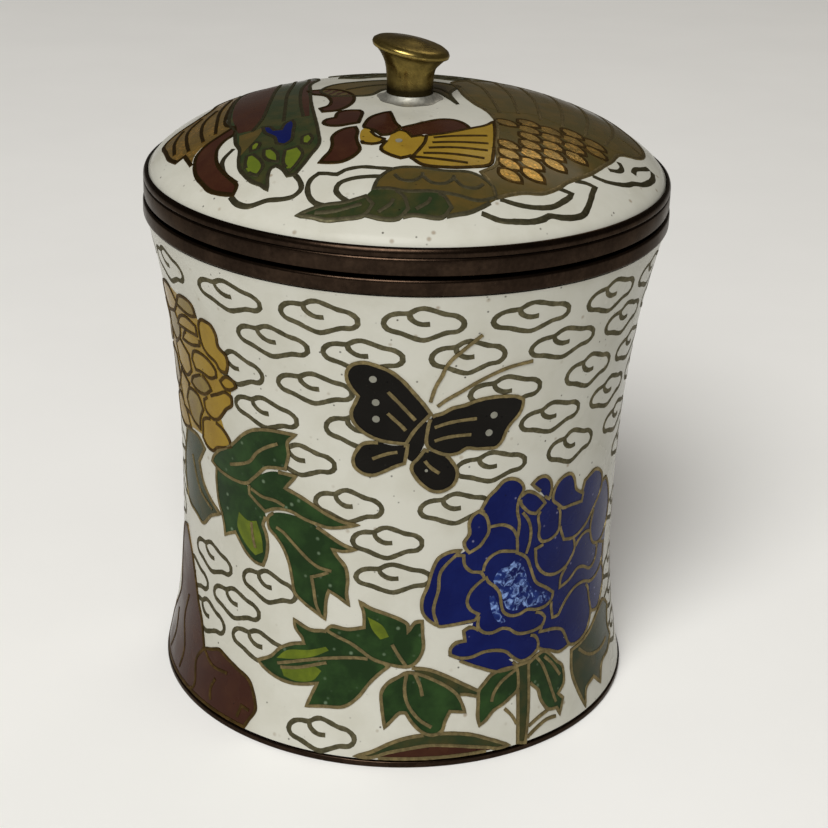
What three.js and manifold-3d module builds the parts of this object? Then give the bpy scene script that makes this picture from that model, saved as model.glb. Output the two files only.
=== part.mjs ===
// A small lidded cloisonne jar: a waisted copper cylinder with a foot ring and a mouth ring, and a
// domed lid that lifts off, with a turned knob. Both copper blanks are enamelled inside and out.
// Millimetres, +Z up. The origin is the centre of the foot's underside, and the front faces -Y.
import * as THREE from "three";
import { mergeVertices } from "three/addons/utils/BufferGeometryUtils.js";
import Module from "manifold-3d";

const wasm = await Module();
wasm.setup();

// ---- Jar wall ----
const FOOT_RADIUS = 29.8; // outside of the enamelled wall at the table
const WAIST_RADIUS = 27.3; // outside of the wall where it is narrowest
const WAIST_HEIGHT = 22; // height of the waist above the table
const MOUTH_RADIUS = 31.1; // outside of the wall just under the mouth ring
const WALL_TOP = 59.9; // height of the wall's upper edge
const FOOT_FLARE = 2.05; // exponent of the curve from the waist down
const MOUTH_FLARE = 2.6; // exponent of the curve from the waist up

// ---- Layers ----
const ENAMEL = 1.0; // outer enamel, level with the tops of its wires
const COPPER = 1.0; // spun copper blank
const LINING = 0.5; // counter-enamel on the inside
const BOND = 0.15; // fusing or solder line between two bonded pieces
const WIRE = 0.5; // width of an outline wire

// ---- Foot and base ----
const FOOT_BAND = 0.8; // height of the foot ring's visible edge
const FOOT_RING_WIDTH = 3.4; // how far the foot ring reaches in under the wall
const FOOT_UPSTAND = 1.8; // height of the ring's inner rib that carries the base plate
const FOOT_RIB = 1.2; // thickness of that rib
const BASE_PLATE = 1.0; // thickness of the copper base plate

// ---- Mouth ----
const MOUTH_RING_HEIGHT = 1.9;
const MOUTH_RING_LIP = 0.35; // how far the mouth ring stands proud of the wall
const COLLAR_WALL = 0.8; // thickness of the collar that locates the lid
const COLLAR_DEPTH = 2.4; // length of the collar soldered inside the wall
const COLLAR_RISE = 2.2; // length of the collar that stands up inside the lid

// ---- Lid ----
const LID_PLAY = 0.3; // running clearance between the lid and the jar
const LID_RIM_OVERHANG = 0.25; // how far the lid's metal rim stands out past the wall's mouth
const LID_RIM_HEIGHT = 3.15;
const LID_RIM_BAND = 0.5; // thickness of the rim's upright band
const LID_RIM_FLOOR = 0.8; // thickness of the rim's inward floor
const DOME_RISE = 8.1; // height of the dome above the rim's top
const DOME_CURVE = 2.8; // exponent of the dome's curve, flatter on top as it grows
const DOME_SHOULDER = 0.8; // exponent that turns the dome down at its edge

// ---- Knob ----
const KNOB_HEIGHT = 7.2; // above the top of the dome
const STEM_RADIUS = 2.75;
const HEAD_RADIUS = 4.55;
const HEAD_THICKNESS = 2.0; // from the head's underside to its crown
const HEAD_TILT = 10; // degrees, the bent head's fall towards +X
const SPIGOT_RADIUS = 1.6; // tail of the knob, through the lid
const SOLDER_WIDTH = 0.9; // solder fillet round the stem's foot
const SOLDER_HEIGHT = 0.7;
const WASHER_RADIUS = 4.4;
const WASHER_THICKNESS = 0.6;
const NUT_ACROSS_FLATS = 5.5;
const NUT_THICKNESS = 2.0;
const SPIGOT_END = 0.4; // length of the spigot past the nut

// ---- Drawing of the pattern ----
// The outlines below are drawn on a sheet that is wrapped round the jar's wall, and on a disc laid
// over the lid. Both are stretched to fit the jar as it is.
const SHEET_RADIUS = 28; // the sheet's width is this radius times the angle
const SHEET_HEIGHT = 60;
const DISC_RADIUS = 30.7;
const CURVE_STEP = 4.4; // spacing of points along a curved outline
const CUTTER_CLEAR = 2; // how far a pattern cutter runs clear of the enamel

// ---- Mesh fineness ----
const SEGMENTS = 32; // round the jar
const LEVELS = 5; // steps up the wall, and out over the dome
const KNOB_SEGMENTS = 16;

// ---- Sizes that follow ----
const SHELL_INSET = ENAMEL + BOND; // from the enamel's surface down to the copper
const LINING_INSET = SHELL_INSET + COPPER + BOND; // and down to the lining
const WALL_FOOT = FOOT_BAND + BOND;
const MOUTH_TOP = WALL_TOP + BOND + MOUTH_RING_HEIGHT;
const LID_BOTTOM = MOUTH_TOP + LID_PLAY;
const LID_RIM_RADIUS = MOUTH_RADIUS + LID_RIM_OVERHANG;
const DOME_RADIUS = LID_RIM_RADIUS - LID_RIM_BAND - BOND;
const DOME_FOOT = LID_BOTTOM + LID_RIM_HEIGHT;
const COLLAR_BOTTOM = WALL_TOP - COLLAR_DEPTH;
const COLLAR_RADIUS = Math.min(wallRadius(COLLAR_BOTTOM), wallRadius(WALL_TOP)) - LINING_INSET;
const BASE_UNDERSIDE = FOOT_BAND + FOOT_UPSTAND + BOND;
const BASE_TOP = BASE_UNDERSIDE + BASE_PLATE;

// Outside radius of the enamelled wall at a height: two power curves that meet at the waist.
function wallRadius(z) {
  if (z < WAIST_HEIGHT) {
    const share = (WAIST_HEIGHT - z) / WAIST_HEIGHT;
    return WAIST_RADIUS + (FOOT_RADIUS - WAIST_RADIUS) * share ** FOOT_FLARE;
  }
  const share = (z - WAIST_HEIGHT) / (WALL_TOP - WAIST_HEIGHT);
  return WAIST_RADIUS + (MOUTH_RADIUS - WAIST_RADIUS) * share ** MOUTH_FLARE;
}

// Height of the lid's enamel at a radius.
function domeHeight(r) {
  return DOME_FOOT + DOME_RISE * (1 - (r / DOME_RADIUS) ** DOME_CURVE) ** DOME_SHOULDER;
}

// The shared levels between two limits, so that neighbouring layers are faceted alike.
function levelsBetween(low, high, step) {
  const levels = [low];
  for (let level = step; level < high - step / 4; level += step) {
    if (level > low + step / 4) levels.push(level);
  }
  return [...levels, high];
}

// ---- Solids ----

function solidFrom(geometry) {
  const bare = geometry.clone();
  bare.deleteAttribute("normal");
  bare.deleteAttribute("uv");
  const merged = mergeVertices(bare, 1e-4);
  const mesh = new wasm.Mesh({
    numProp: 3,
    vertProperties: merged.attributes.position.array,
    triVerts: new Uint32Array(merged.index.array),
  });
  return new wasm.Manifold(mesh);
}

function geometryFrom(solid) {
  const { vertProperties, triVerts } = solid.getMesh();
  const geometry = new THREE.BufferGeometry();
  geometry.setAttribute("position", new THREE.BufferAttribute(new Float32Array(vertProperties), 3));
  geometry.setIndex(new THREE.BufferAttribute(new Uint32Array(triVerts), 1));
  return geometry;
}

// A body of revolution about Z. The profile is a list of [radius, height], anticlockwise.
function turned(profile, segments = SEGMENTS) {
  const points = profile.map(([r, z]) => new THREE.Vector2(r, z));
  const first = points[0];
  const onAxis = first.x === 0 && points.at(-1).x === 0;
  if (!onAxis) points.push(first.clone());
  return new THREE.LatheGeometry(points, segments).rotateX(Math.PI / 2);
}

// A layer of the jar's wall, `inset` in from the outside, between two heights.
function wallLayer(inset, thickness, low, high) {
  const levels = levelsBetween(low, high, WALL_TOP / LEVELS);
  const outside = levels.map((z) => [wallRadius(z) - inset, z]);
  const inside = levels.map((z) => [wallRadius(z) - inset - thickness, z]).reverse();
  return turned([...outside, ...inside]);
}

// A layer of the dome, `drop` below the enamel's surface, with a hole in the middle.
function domeLayer(drop, thickness, hole, edge) {
  const radii = levelsBetween(hole, edge, DOME_RADIUS / LEVELS);
  const above = radii.map((r) => [r, domeHeight(r) - drop]).reverse();
  const below = radii.map((r) => [r, domeHeight(r) - drop - thickness]);
  return turned([...above, ...below]);
}

function ring(inner, outer, low, high) {
  return turned([[outer, low], [outer, high], [inner, high], [inner, low]]);
}

function disc(radius, low, high) {
  return turned([[0, low], [radius, low], [radius, high], [0, high]]);
}

// ---- Jar pieces ----

function footRing() {
  const outer = wallRadius(0);
  const inner = outer - FOOT_RING_WIDTH - FOOT_RIB;
  const ribOuter = wallRadius(FOOT_BAND + FOOT_UPSTAND) - LINING_INSET;
  const top = FOOT_BAND + FOOT_UPSTAND;
  return turned([
    [outer, 0],
    [outer, FOOT_BAND],
    [ribOuter, FOOT_BAND],
    [ribOuter, top],
    [inner, top],
    [inner, 0],
  ]);
}

function baseEnamel() {
  const radius = wallRadius(0) - FOOT_RING_WIDTH - FOOT_RIB - BOND;
  const top = BASE_UNDERSIDE - BOND;
  return disc(radius, top - LINING, top);
}

function basePlate() {
  return disc(wallRadius(BASE_TOP) - LINING_INSET, BASE_UNDERSIDE, BASE_TOP);
}

function floorLining() {
  const low = BASE_TOP + BOND;
  return disc(wallRadius(low + LINING) - LINING_INSET - LINING - BOND, low, low + LINING);
}

function mouthRing() {
  const low = WALL_TOP + BOND;
  return ring(COLLAR_RADIUS + BOND, MOUTH_RADIUS + MOUTH_RING_LIP, low, MOUTH_TOP);
}

function neckCollar() {
  const top = MOUTH_TOP + COLLAR_RISE;
  return ring(COLLAR_RADIUS - COLLAR_WALL, COLLAR_RADIUS, COLLAR_BOTTOM, top);
}

// ---- Lid pieces ----

function lidRim() {
  const bore = COLLAR_RADIUS + LID_PLAY;
  const seat = LID_RIM_RADIUS - LID_RIM_BAND;
  const floor = LID_BOTTOM + LID_RIM_FLOOR;
  return turned([
    [LID_RIM_RADIUS, LID_BOTTOM],
    [LID_RIM_RADIUS, DOME_FOOT],
    [seat, DOME_FOOT],
    [seat, floor],
    [bore, floor],
    [bore, LID_BOTTOM],
  ]);
}

// The lid's copper blank: a dome with a short skirt that stands on the rim's floor.
function lidBlank() {
  const skirtFoot = LID_BOTTOM + LID_RIM_FLOOR + BOND;
  const hole = SPIGOT_RADIUS + BOND;
  const inner = DOME_RADIUS - COPPER;
  const radii = levelsBetween(hole, DOME_RADIUS, DOME_RADIUS / LEVELS);
  const below = radii.filter((r) => r < inner - COPPER);
  return turned([
    [DOME_RADIUS, skirtFoot],
    ...radii.map((r) => [r, domeHeight(r) - SHELL_INSET]).reverse(),
    ...below.map((r) => [r, domeHeight(r) - SHELL_INSET - COPPER]),
    [inner, domeHeight(inner) - SHELL_INSET - COPPER],
    [inner, skirtFoot],
  ]);
}

function lidLining() {
  const edge = DOME_RADIUS - COPPER - BOND;
  return domeLayer(LINING_INSET, LINING, SPIGOT_RADIUS + BOND, edge);
}

// Underside of the lid's lining where the washer bears on it.
const WASHER_TOP = domeHeight(WASHER_RADIUS) - LINING_INSET - LINING - BOND;
const NUT_TOP = WASHER_TOP - WASHER_THICKNESS - BOND;

// The knob's head is bent: above the stem, each point falls in proportion to how far it lies to +X.
function bendHead(geometry, stemTop, bendTop) {
  const position = geometry.attributes.position;
  const slope = Math.tan(THREE.MathUtils.degToRad(HEAD_TILT));
  for (let i = 0; i < position.count; i += 1) {
    const share = THREE.MathUtils.smoothstep(position.getZ(i), stemTop, bendTop);
    position.setZ(i, position.getZ(i) - slope * share * position.getX(i));
  }
  return geometry;
}

function knob() {
  const crown = domeHeight(0) + KNOB_HEIGHT;
  const shoulder = domeHeight(STEM_RADIUS) - ENAMEL;
  const underside = crown - HEAD_THICKNESS;
  const tail = NUT_TOP - NUT_THICKNESS - SPIGOT_END;
  const flareStart = underside - 2.6;
  const flare = HEAD_RADIUS - STEM_RADIUS;
  const profile = [
    [0, tail],
    [SPIGOT_RADIUS, tail],
    [SPIGOT_RADIUS, shoulder],
    [STEM_RADIUS, shoulder],
    [STEM_RADIUS, flareStart],
    [STEM_RADIUS + 0.14 * flare, underside - 1.2],
    [STEM_RADIUS + 0.45 * flare, underside - 0.2],
    [HEAD_RADIUS - 0.35, underside + 0.3],
    [HEAD_RADIUS, underside + 0.75],
    [HEAD_RADIUS - 0.3, underside + 1.2],
    [0.55 * HEAD_RADIUS, crown - 0.25],
    [0, crown],
  ];
  return bendHead(turned(profile, KNOB_SEGMENTS), flareStart, underside);
}

function knobSolder() {
  const inner = STEM_RADIUS + BOND;
  const outer = inner + SOLDER_WIDTH;
  const seat = domeHeight(inner) + BOND;
  return turned([[outer, seat], [inner, seat + SOLDER_HEIGHT], [inner, seat]], KNOB_SEGMENTS);
}

function knobWasher() {
  return ring(SPIGOT_RADIUS + BOND, WASHER_RADIUS, WASHER_TOP - WASHER_THICKNESS, WASHER_TOP);
}

function knobNut() {
  const shape = new THREE.Shape();
  const corner = NUT_ACROSS_FLATS / 2 / Math.cos(Math.PI / 6);
  for (let i = 0; i < 6; i += 1) {
    const angle = (i * Math.PI) / 3;
    const draw = i === 0 ? "moveTo" : "lineTo";
    shape[draw](corner * Math.cos(angle), corner * Math.sin(angle));
  }
  shape.closePath();
  const bore = new THREE.Path().absarc(0, 0, SPIGOT_RADIUS + BOND, 0, 2 * Math.PI, true);
  shape.holes.push(bore);
  const options = { depth: NUT_THICKNESS, bevelEnabled: false, curveSegments: 8 };
  return new THREE.ExtrudeGeometry(shape, options).translate(0, 0, NUT_TOP - NUT_THICKNESS);
}

// ---- Pattern ----
// Each motif is a hole in the ground enamel, holding a wire that follows its outline and the
// motif's own enamel inside the wire. Outlines run anticlockwise.

// Petalled and rounded motifs are smooth closed curves through their points.
function curved(points) {
  const corners = points.map(([x, y]) => new THREE.Vector3(x, y, 0));
  const curve = new THREE.CatmullRomCurve3(corners, true, "centripetal");
  const count = Math.round(curve.getLength() / CURVE_STEP);
  return curve.getSpacedPoints(count).slice(0, -1).map(({ x, y }) => [x, y]);
}

const BUTTERFLY = [
  [2.2, 46.1], [-0.2, 48.6], [-2.4, 51], [-4, 51.7], [-5.6, 50.8], [-5.3, 48.4], [-4.8, 45.6],
  [-4.7, 43.2], [-2.4, 41.3], [-4.6, 40], [-4.9, 38.2], [-3.4, 37.4], [-0.6, 38.1], [1.3, 39.2],
  [2.8, 36.8], [4.8, 35.6], [6.3, 36.8], [6, 39.6], [9, 40.8], [11.6, 41.1], [12.8, 43.4],
  [14, 45.8], [13.2, 46.8], [9.6, 46.7], [4.2, 45.3],
];

const BLUE_PEONY = curved([
  [3.2, 18.8], [7.6, 17.6], [6.4, 14.6], [10, 12.4], [17, 11], [24, 9.6], [31, 12.6], [35, 18.6],
  [36, 25], [32, 31], [27, 33.6], [22, 34.8], [17.5, 35.8], [12, 35.8], [9.4, 33], [7.8, 28.4],
  [4.6, 26.4], [2.8, 22.6],
]);

const YELLOW_PEONY = curved([
  [-50, 43], [-48, 37.6], [-41, 35.4], [-34, 36.4], [-28, 34.8], [-22.6, 37.6], [-20.4, 42.4],
  [-20.8, 47.6], [-23.2, 52.2], [-28, 54.2], [-35, 55], [-42, 54], [-48, 50],
]);

const UPPER_LEAVES = [
  [-13.4, 40.3], [-19, 38.4], [-25, 33.4], [-24.6, 28.2], [-21.6, 25.6], [-17.2, 23.2],
  [-16.8, 28], [-13.6, 26.4], [-12.6, 21], [-8.6, 18.6], [-8.2, 21.4], [-6, 20.6], [-6.4, 25],
  [-7.6, 27], [-5.2, 29.4], [-8.8, 31.2], [-12.8, 33.6], [-13.8, 37],
];

const LOWER_LEAVES = [
  [-3.7, 20.6], [-4.6, 16.8], [-8.2, 16], [-12.2, 16.6], [-11.2, 14.2], [-14.2, 12.4],
  [-17, 10.2], [-11.6, 9], [-8.6, 9.6], [-9.6, 6.8], [-4.4, 8.2], [-2.4, 11.2], [0.6, 11.6],
  [-1, 8.8], [-0.6, 5.6], [2.6, 5.8], [5.4, 4.6], [6.2, 6.4], [8.2, 7.4], [7.8, 10.2], [4.6, 12.4],
  [3, 14.6], [2.2, 17.2], [-0.8, 19.6],
];

const ROCK = [
  [-44, -2], [-19, -2], [-17, 4.4], [-18.6, 7.2], [-23.4, 9], [-27.4, 8.2], [-29.6, 13.6],
  [-33, 21], [-38, 22.4], [-42.4, 15],
];

const EYE_FEATHER = [
  [-20.8, 6], [-20.2, -5], [-19.8, -11.8], [-18.4, -17.6], [-16.2, -21.1], [-15.2, -21.7],
  [-14.4, -19.1], [-12.8, -20.9], [-10.8, -17.6], [-10.3, -9.4], [-11.4, 1.3], [-11.8, 9],
  [-15.1, 10.8],
];

const RIBBON = curved([
  [-20.8, -7.7], [-23.1, -10.2], [-23.8, -13.4], [-22.6, -17.5], [-19.4, -20.9], [-20.4, -17.4],
  [-21.6, -13.9], [-21.4, -10.4],
]);

const PHOENIX_NECK = curved([
  [-5.8, -11.8], [-5.4, -15.9], [-2.4, -18.2], [1.4, -20.1], [8, -19.4], [8.1, -11.1],
  [2.6, -12.9], [-1, -12.8], [-3.4, -14],
]);

const PHOENIX_BODY = curved([
  [6.8, 8], [10.5, -4.3], [10.8, -13.3], [10.4, -20.8], [14.6, -21.3], [18.6, -16], [23.3, -9.6],
  [27.3, -3.3], [25.9, 5.1], [19, 14.1], [10, 16],
]);

const WING_FEATHERS = [
  [-11, -26.6], [-7.8, -27.8], [-4.4, -27.8], [0, -28.1], [6, -26.8], [8.2, -24.2], [0.6, -21.7],
  [-1.8, -22.8], [-5.2, -25.7], [-8, -26.2],
];

// Moves each side of an outline inwards by a distance, or outwards if it is negative.
function inset(outline, distance) {
  const direction = ([ax, ay], [bx, by]) => {
    const length = Math.hypot(bx - ax, by - ay);
    return [(bx - ax) / length, (by - ay) / length];
  };
  return outline.map((point, i) => {
    const [inX, inY] = direction(outline.at(i - 1), point);
    const [outX, outY] = direction(point, outline[(i + 1) % outline.length]);
    const stretch = Math.min(1.8, 1 / Math.sqrt((1 + inX * outX + inY * outY) / 2));
    const length = Math.hypot(inX + outX, inY + outY);
    const reach = (distance * stretch) / length;
    return [point[0] - reach * (inY + outY), point[1] + reach * (inX + outX)];
  });
}

function prism(outline, depth) {
  const shape = new THREE.Shape(outline.map(([x, y]) => new THREE.Vector2(x, y)));
  return new THREE.ExtrudeGeometry(shape, { depth, bevelEnabled: false });
}

// A motif on the jar's wall: its outline as seen square on, and the cutter that runs straight in
// through the wall there, towards the axis.
function onWall(outline) {
  const angles = outline.map(([x]) => x / SHEET_RADIUS);
  const middle = (Math.min(...angles) + Math.max(...angles)) / 2;
  const seen = outline.map(([x, y]) => [
    WAIST_RADIUS * Math.sin(x / SHEET_RADIUS - middle),
    (y * WALL_TOP) / SHEET_HEIGHT,
  ]);
  const start = WAIST_RADIUS / 2;
  const end = Math.max(FOOT_RADIUS, MOUTH_RADIUS) + CUTTER_CLEAR;
  const cutter = (shape) => {
    const block = prism(shape, end - start).translate(0, 0, start);
    return solidFrom(block.rotateX(Math.PI / 2).rotateZ(middle));
  };
  return { seen, cutter };
}

// A motif on the lid: its outline in plan, and an upright cutter through the dome.
function onDome(outline) {
  const scale = DOME_RADIUS / DISC_RADIUS;
  const seen = outline.map(([x, y]) => [scale * x, scale * y]);
  const depth = DOME_RISE + ENAMEL + 2 * CUTTER_CLEAR;
  const start = DOME_FOOT - ENAMEL - CUTTER_CLEAR;
  const cutter = (shape) => solidFrom(prism(shape, depth).translate(0, 0, start));
  return { seen, cutter };
}

// Cuts the motifs out of a ground layer, and gives the ground, the wires and the motifs' enamel.
function inlaid(groundGeometry, motifs, layOn) {
  const sheet = solidFrom(groundGeometry);
  const half = WIRE / 2;
  const pieces = [];
  let ground = sheet;
  for (const [name, outline] of Object.entries(motifs)) {
    const { seen, cutter } = layOn(outline);
    const rim = cutter(inset(seen, -half)).subtract(cutter(inset(seen, half)));
    const field = sheet.intersect(cutter(inset(seen, half + BOND)));
    ground = ground.subtract(cutter(inset(seen, -half - BOND)));
    pieces.push([`${name}_wire`, geometryFrom(sheet.intersect(rim))]);
    pieces.push([`${name}_enamel`, geometryFrom(field)]);
  }
  return [geometryFrom(ground), pieces];
}

const WALL_MOTIFS = {
  butterfly: BUTTERFLY,
  blue_peony: BLUE_PEONY,
  yellow_peony: YELLOW_PEONY,
  upper_leaves: UPPER_LEAVES,
  lower_leaves: LOWER_LEAVES,
  garden_rock: ROCK,
};

const DOME_MOTIFS = {
  eye_feather: EYE_FEATHER,
  ribbon: RIBBON,
  phoenix_neck: PHOENIX_NECK,
  phoenix_body: PHOENIX_BODY,
  wing_feathers: WING_FEATHERS,
};

// ---- Materials ----

function finish(color, roughness, metalness) {
  return new THREE.MeshStandardMaterial({ color, roughness, metalness });
}

const copper = () => finish(0x9a5a3c, 0.5, 1);
const brass = () => finish(0x8a7440, 0.4, 1);
const bronze = () => finish(0x2e251c, 0.4, 1);
const solder = () => finish(0x4a4a55, 0.5, 1);
const wire = () => finish(0x8c7340, 0.35, 1);
const glaze = (color) => finish(color, 0.15, 0);
const white = () => glaze(0xe4e2d6);
const turquoise = () => glaze(0x2f8f98);

const MOTIF_COLOURS = {
  butterfly: 0x14130f,
  blue_peony: 0x10197a,
  yellow_peony: 0xc99b28,
  upper_leaves: 0x1f5a34,
  lower_leaves: 0x2a6a3c,
  garden_rock: 0x4a2320,
  eye_feather: 0x3a4a2c,
  ribbon: 0x6a1f18,
  phoenix_neck: 0xc8952a,
  phoenix_body: 0x8a6a2c,
  wing_feathers: 0x1f4a3a,
};

// ---- Assembly ----

function named(name, geometry, material) {
  const mesh = new THREE.Mesh(geometry, material);
  mesh.name = name;
  return mesh;
}

function patterned(groundName, groundGeometry, motifs, layOn) {
  const [ground, pieces] = inlaid(groundGeometry, motifs, layOn);
  const meshes = pieces.map(([name, geometry]) => {
    const motif = name.slice(0, name.lastIndexOf("_"));
    const material = name.endsWith("_wire") ? wire() : glaze(MOTIF_COLOURS[motif]);
    return named(name, geometry, material);
  });
  return [named(groundName, ground, white()), ...meshes];
}

function jarGroup() {
  const group = new THREE.Group();
  const enamel = wallLayer(0, ENAMEL, WALL_FOOT, WALL_TOP);
  const blank = wallLayer(SHELL_INSET, COPPER, WALL_FOOT, WALL_TOP);
  const lining = wallLayer(LINING_INSET, LINING, BASE_TOP + BOND, COLLAR_BOTTOM - BOND);
  group.add(
    named("body_blank", blank, copper()),
    ...patterned("body_enamel", enamel, WALL_MOTIFS, onWall),
    named("body_lining", lining, turquoise()),
    named("foot_ring", footRing(), bronze()),
    named("base_plate", basePlate(), copper()),
    named("base_enamel", baseEnamel(), turquoise()),
    named("floor_lining", floorLining(), turquoise()),
    named("mouth_ring", mouthRing(), bronze()),
    named("neck_collar", neckCollar(), brass()),
  );
  return group;
}

function lidGroup() {
  const group = new THREE.Group();
  const enamel = domeLayer(0, ENAMEL, STEM_RADIUS + BOND, DOME_RADIUS);
  group.add(
    named("lid_blank", lidBlank(), copper()),
    ...patterned("lid_enamel", enamel, DOME_MOTIFS, onDome),
    named("lid_lining", lidLining(), turquoise()),
    named("lid_rim", lidRim(), bronze()),
    named("knob", knob(), brass()),
    named("knob_solder", knobSolder(), solder()),
    named("knob_washer", knobWasher(), brass()),
    named("knob_nut", knobNut(), brass()),
  );
  return group;
}

const jar = new THREE.Group();
jar.add(jarGroup(), lidGroup());

export default jar;
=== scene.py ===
"""A small lidded cloisonne jar, drawn in enamel and wire over its CAD frame.

The drawing of the wall is kept on a flat sheet in millimetres: u runs round the wall to the right,
v runs up, and u = 0 is the front. The drawing of the lid is a plan with y pointing to the back.
"""

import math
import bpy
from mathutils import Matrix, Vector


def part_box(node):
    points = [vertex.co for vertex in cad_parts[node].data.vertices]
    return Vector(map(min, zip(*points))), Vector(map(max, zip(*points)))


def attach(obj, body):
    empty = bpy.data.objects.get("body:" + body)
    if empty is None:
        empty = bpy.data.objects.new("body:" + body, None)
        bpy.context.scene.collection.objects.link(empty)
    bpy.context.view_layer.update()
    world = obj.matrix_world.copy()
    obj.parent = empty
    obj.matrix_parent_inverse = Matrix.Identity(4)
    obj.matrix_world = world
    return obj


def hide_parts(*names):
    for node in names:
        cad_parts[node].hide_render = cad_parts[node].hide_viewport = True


bl_info = {
    "name": "Cloisonne Lidded Jar",
    "version": (1, 0, 0),
    "blender": (4, 5, 0),
    "location": "View3D > Sidebar > Jar",
    "description": "Builds the enamels, wires and brass of a lidded cloisonne jar",
    "category": "Add Mesh",
}

import bmesh
import bpy
from mathutils import Matrix, Vector
from mathutils.geometry import delaunay_2d_cdt
from mathutils.kdtree import KDTree

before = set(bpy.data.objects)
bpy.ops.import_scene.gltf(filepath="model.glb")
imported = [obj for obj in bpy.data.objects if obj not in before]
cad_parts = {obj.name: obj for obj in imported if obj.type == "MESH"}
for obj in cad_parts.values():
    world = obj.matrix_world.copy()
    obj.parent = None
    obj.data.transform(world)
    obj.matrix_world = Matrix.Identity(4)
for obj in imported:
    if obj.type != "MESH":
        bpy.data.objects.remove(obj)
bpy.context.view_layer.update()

MM = 0.001


def cad_size(node):
    """A CAD node's (outer radius, bottom, top) in millimetres."""
    low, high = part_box(node)
    return high.x / MM, low.z / MM, high.z / MM


MOUTH_RADIUS, WALL_FOOT, WALL_TOP = cad_size("body_enamel")
FOOT_RADIUS, FOOT_BOTTOM, FOOT_RIB_TOP = cad_size("foot_ring")
MOUTH_RING_RADIUS, MOUTH_RING_FOOT, MOUTH_RING_TOP = cad_size("mouth_ring")
COLLAR_RADIUS, COLLAR_FOOT, COLLAR_TOP = cad_size("neck_collar")
LID_RIM_RADIUS, LID_RIM_FOOT, LID_RIM_TOP = cad_size("lid_rim")
DOME_RADIUS = cad_size("lid_enamel")[0]
KNOB_RADIUS, KNOB_TAIL = cad_size("knob")[:2]

# The drawing sheet, and how finely it is laid on the jar, in millimetres.
SHEET_RADIUS = 28.0
SHEET_HEIGHT = 60.0
HALF_TURN = math.pi * SHEET_RADIUS
PLAN_RADIUS = 30.7
CURVE_STEP = 0.45
FILL_STEP = 1.1
LAYER_STEP = 0.8
BURIED = 0.25  # how far cells and wires reach down into the ground
CORNER = math.radians(56)  # an outline that turns by more than this has a point there
SHARED = 0.62  # two cells closer than this share one wire

# Heights over the ground of what is laid on it. Later layers hide earlier ones.
CLOUD_LIFT = 0.04
WIRE_LIFT = 0.16
WIRE_BEVEL = 0.035  # how much lower than its middle a wire is at its edges
WIRE_WAVER = 0.09  # how much the width of a hand-bent wire varies
LAYERS = {"base": 0.06, "cell": 0.08, "patch": 0.1, "top": 0.12}

# Thicknesses of the layers under the enamel and of the bond between them, in millimetres.
BOND = 0.15
COPPER = 1.0
LINING = 0.5

# The collar's wall, and the floor of the lid's rim and its gap round the collar, in millimetres.
COLLAR_WALL = 0.8
RIM_FLOOR = 0.8
RIM_CLEARANCE = 0.3

# The knob and what holds it, in millimetres.
KNOB_STEM_RADIUS = 2.75
KNOB_HEIGHT = 7.2
KNOB_TILT = math.radians(10)
SPIGOT_RADIUS = 1.6
SOLDER_WIDTH = 1.05
SOLDER_RISE = 0.75
NUT_CHAMFER = 0.25

ENAMEL_SPECULAR = 0.07
TARNISHED_EDGE = (0.62, 0.6, 0.58, 1.0)  # metals go dark towards their edges where they are tarnished

# The stage: lamp powers in watts, the camera's lens and place in millimetres, and its three axes.
KEY_POWER = 21.0
BACK_POWER = 0.4
SURROUND = 0.12
CAMERA_LENS = 83.97
CAMERA_PLACE = (0.0, -223.44, 130.09)
CAMERA_RIGHT = (0.99956, 0.00514, 0.02938)
CAMERA_UP = (-0.0290, 0.3986, 0.9167)
CAMERA_BACK = (-0.0070, -0.9171, 0.3986)


def linear(hex_colour):
    """An sRGB hex colour as linear red, green, blue and alpha."""
    channels = [int(hex_colour[i : i + 2], 16) / 255 for i in (1, 3, 5)]
    return [c / 12.92 if c < 0.04045 else ((c + 0.055) / 1.055) ** 2.4 for c in channels] + [1.0]


def length_setting(name, description, millimetres):
    """A length that is given in millimetres and kept in metres."""
    return bpy.props.FloatProperty(
        name=name,
        description=description,
        default=millimetres * MM,
        min=0.01 * MM,
        precision=5,
        subtype="DISTANCE",
        unit="LENGTH",
    )


def exponent_setting(name, description, value):
    """The exponent of one of the curves that the jar is turned to."""
    return bpy.props.FloatProperty(name=name, description=description, default=value, min=0.01)


def colour_setting(name, hex_colour):
    """The colour of an enamel or a metal."""
    return bpy.props.FloatVectorProperty(
        name=name,
        description=f"Colour of the {name.lower()}",
        subtype="COLOR",
        size=4,
        min=0.0,
        max=1.0,
        default=linear(hex_colour),
    )


class JarSizes(bpy.types.PropertyGroup):
    """Sizes that the CAD boxes do not give."""

    waist_radius: length_setting("Waist radius", "Outside of the wall at its narrowest", 27.3)
    waist_height: length_setting("Waist height", "Height of the narrowest place", 22.0)
    foot_flare: exponent_setting("Foot flare", "Exponent of the curve below the waist", 2.05)
    mouth_flare: exponent_setting("Mouth flare", "Exponent of the curve above the waist", 2.6)
    dome_rise: length_setting("Dome rise", "Height of the dome over the lid's rim", 8.1)
    dome_curve: exponent_setting("Dome curve", "Exponent of the dome's curve", 2.8)
    dome_shoulder: exponent_setting("Dome shoulder", "Exponent that turns the dome down at its edge", 0.8)
    enamel: length_setting("Enamel", "Thickness of the outer enamel", 1.0)
    cloud_wire: length_setting("Cloud wire", "Width of the wires of the cloud ground", 0.7)
    motif_wire: length_setting("Motif wire", "Width of the wires of the motifs", 0.46)


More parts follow.
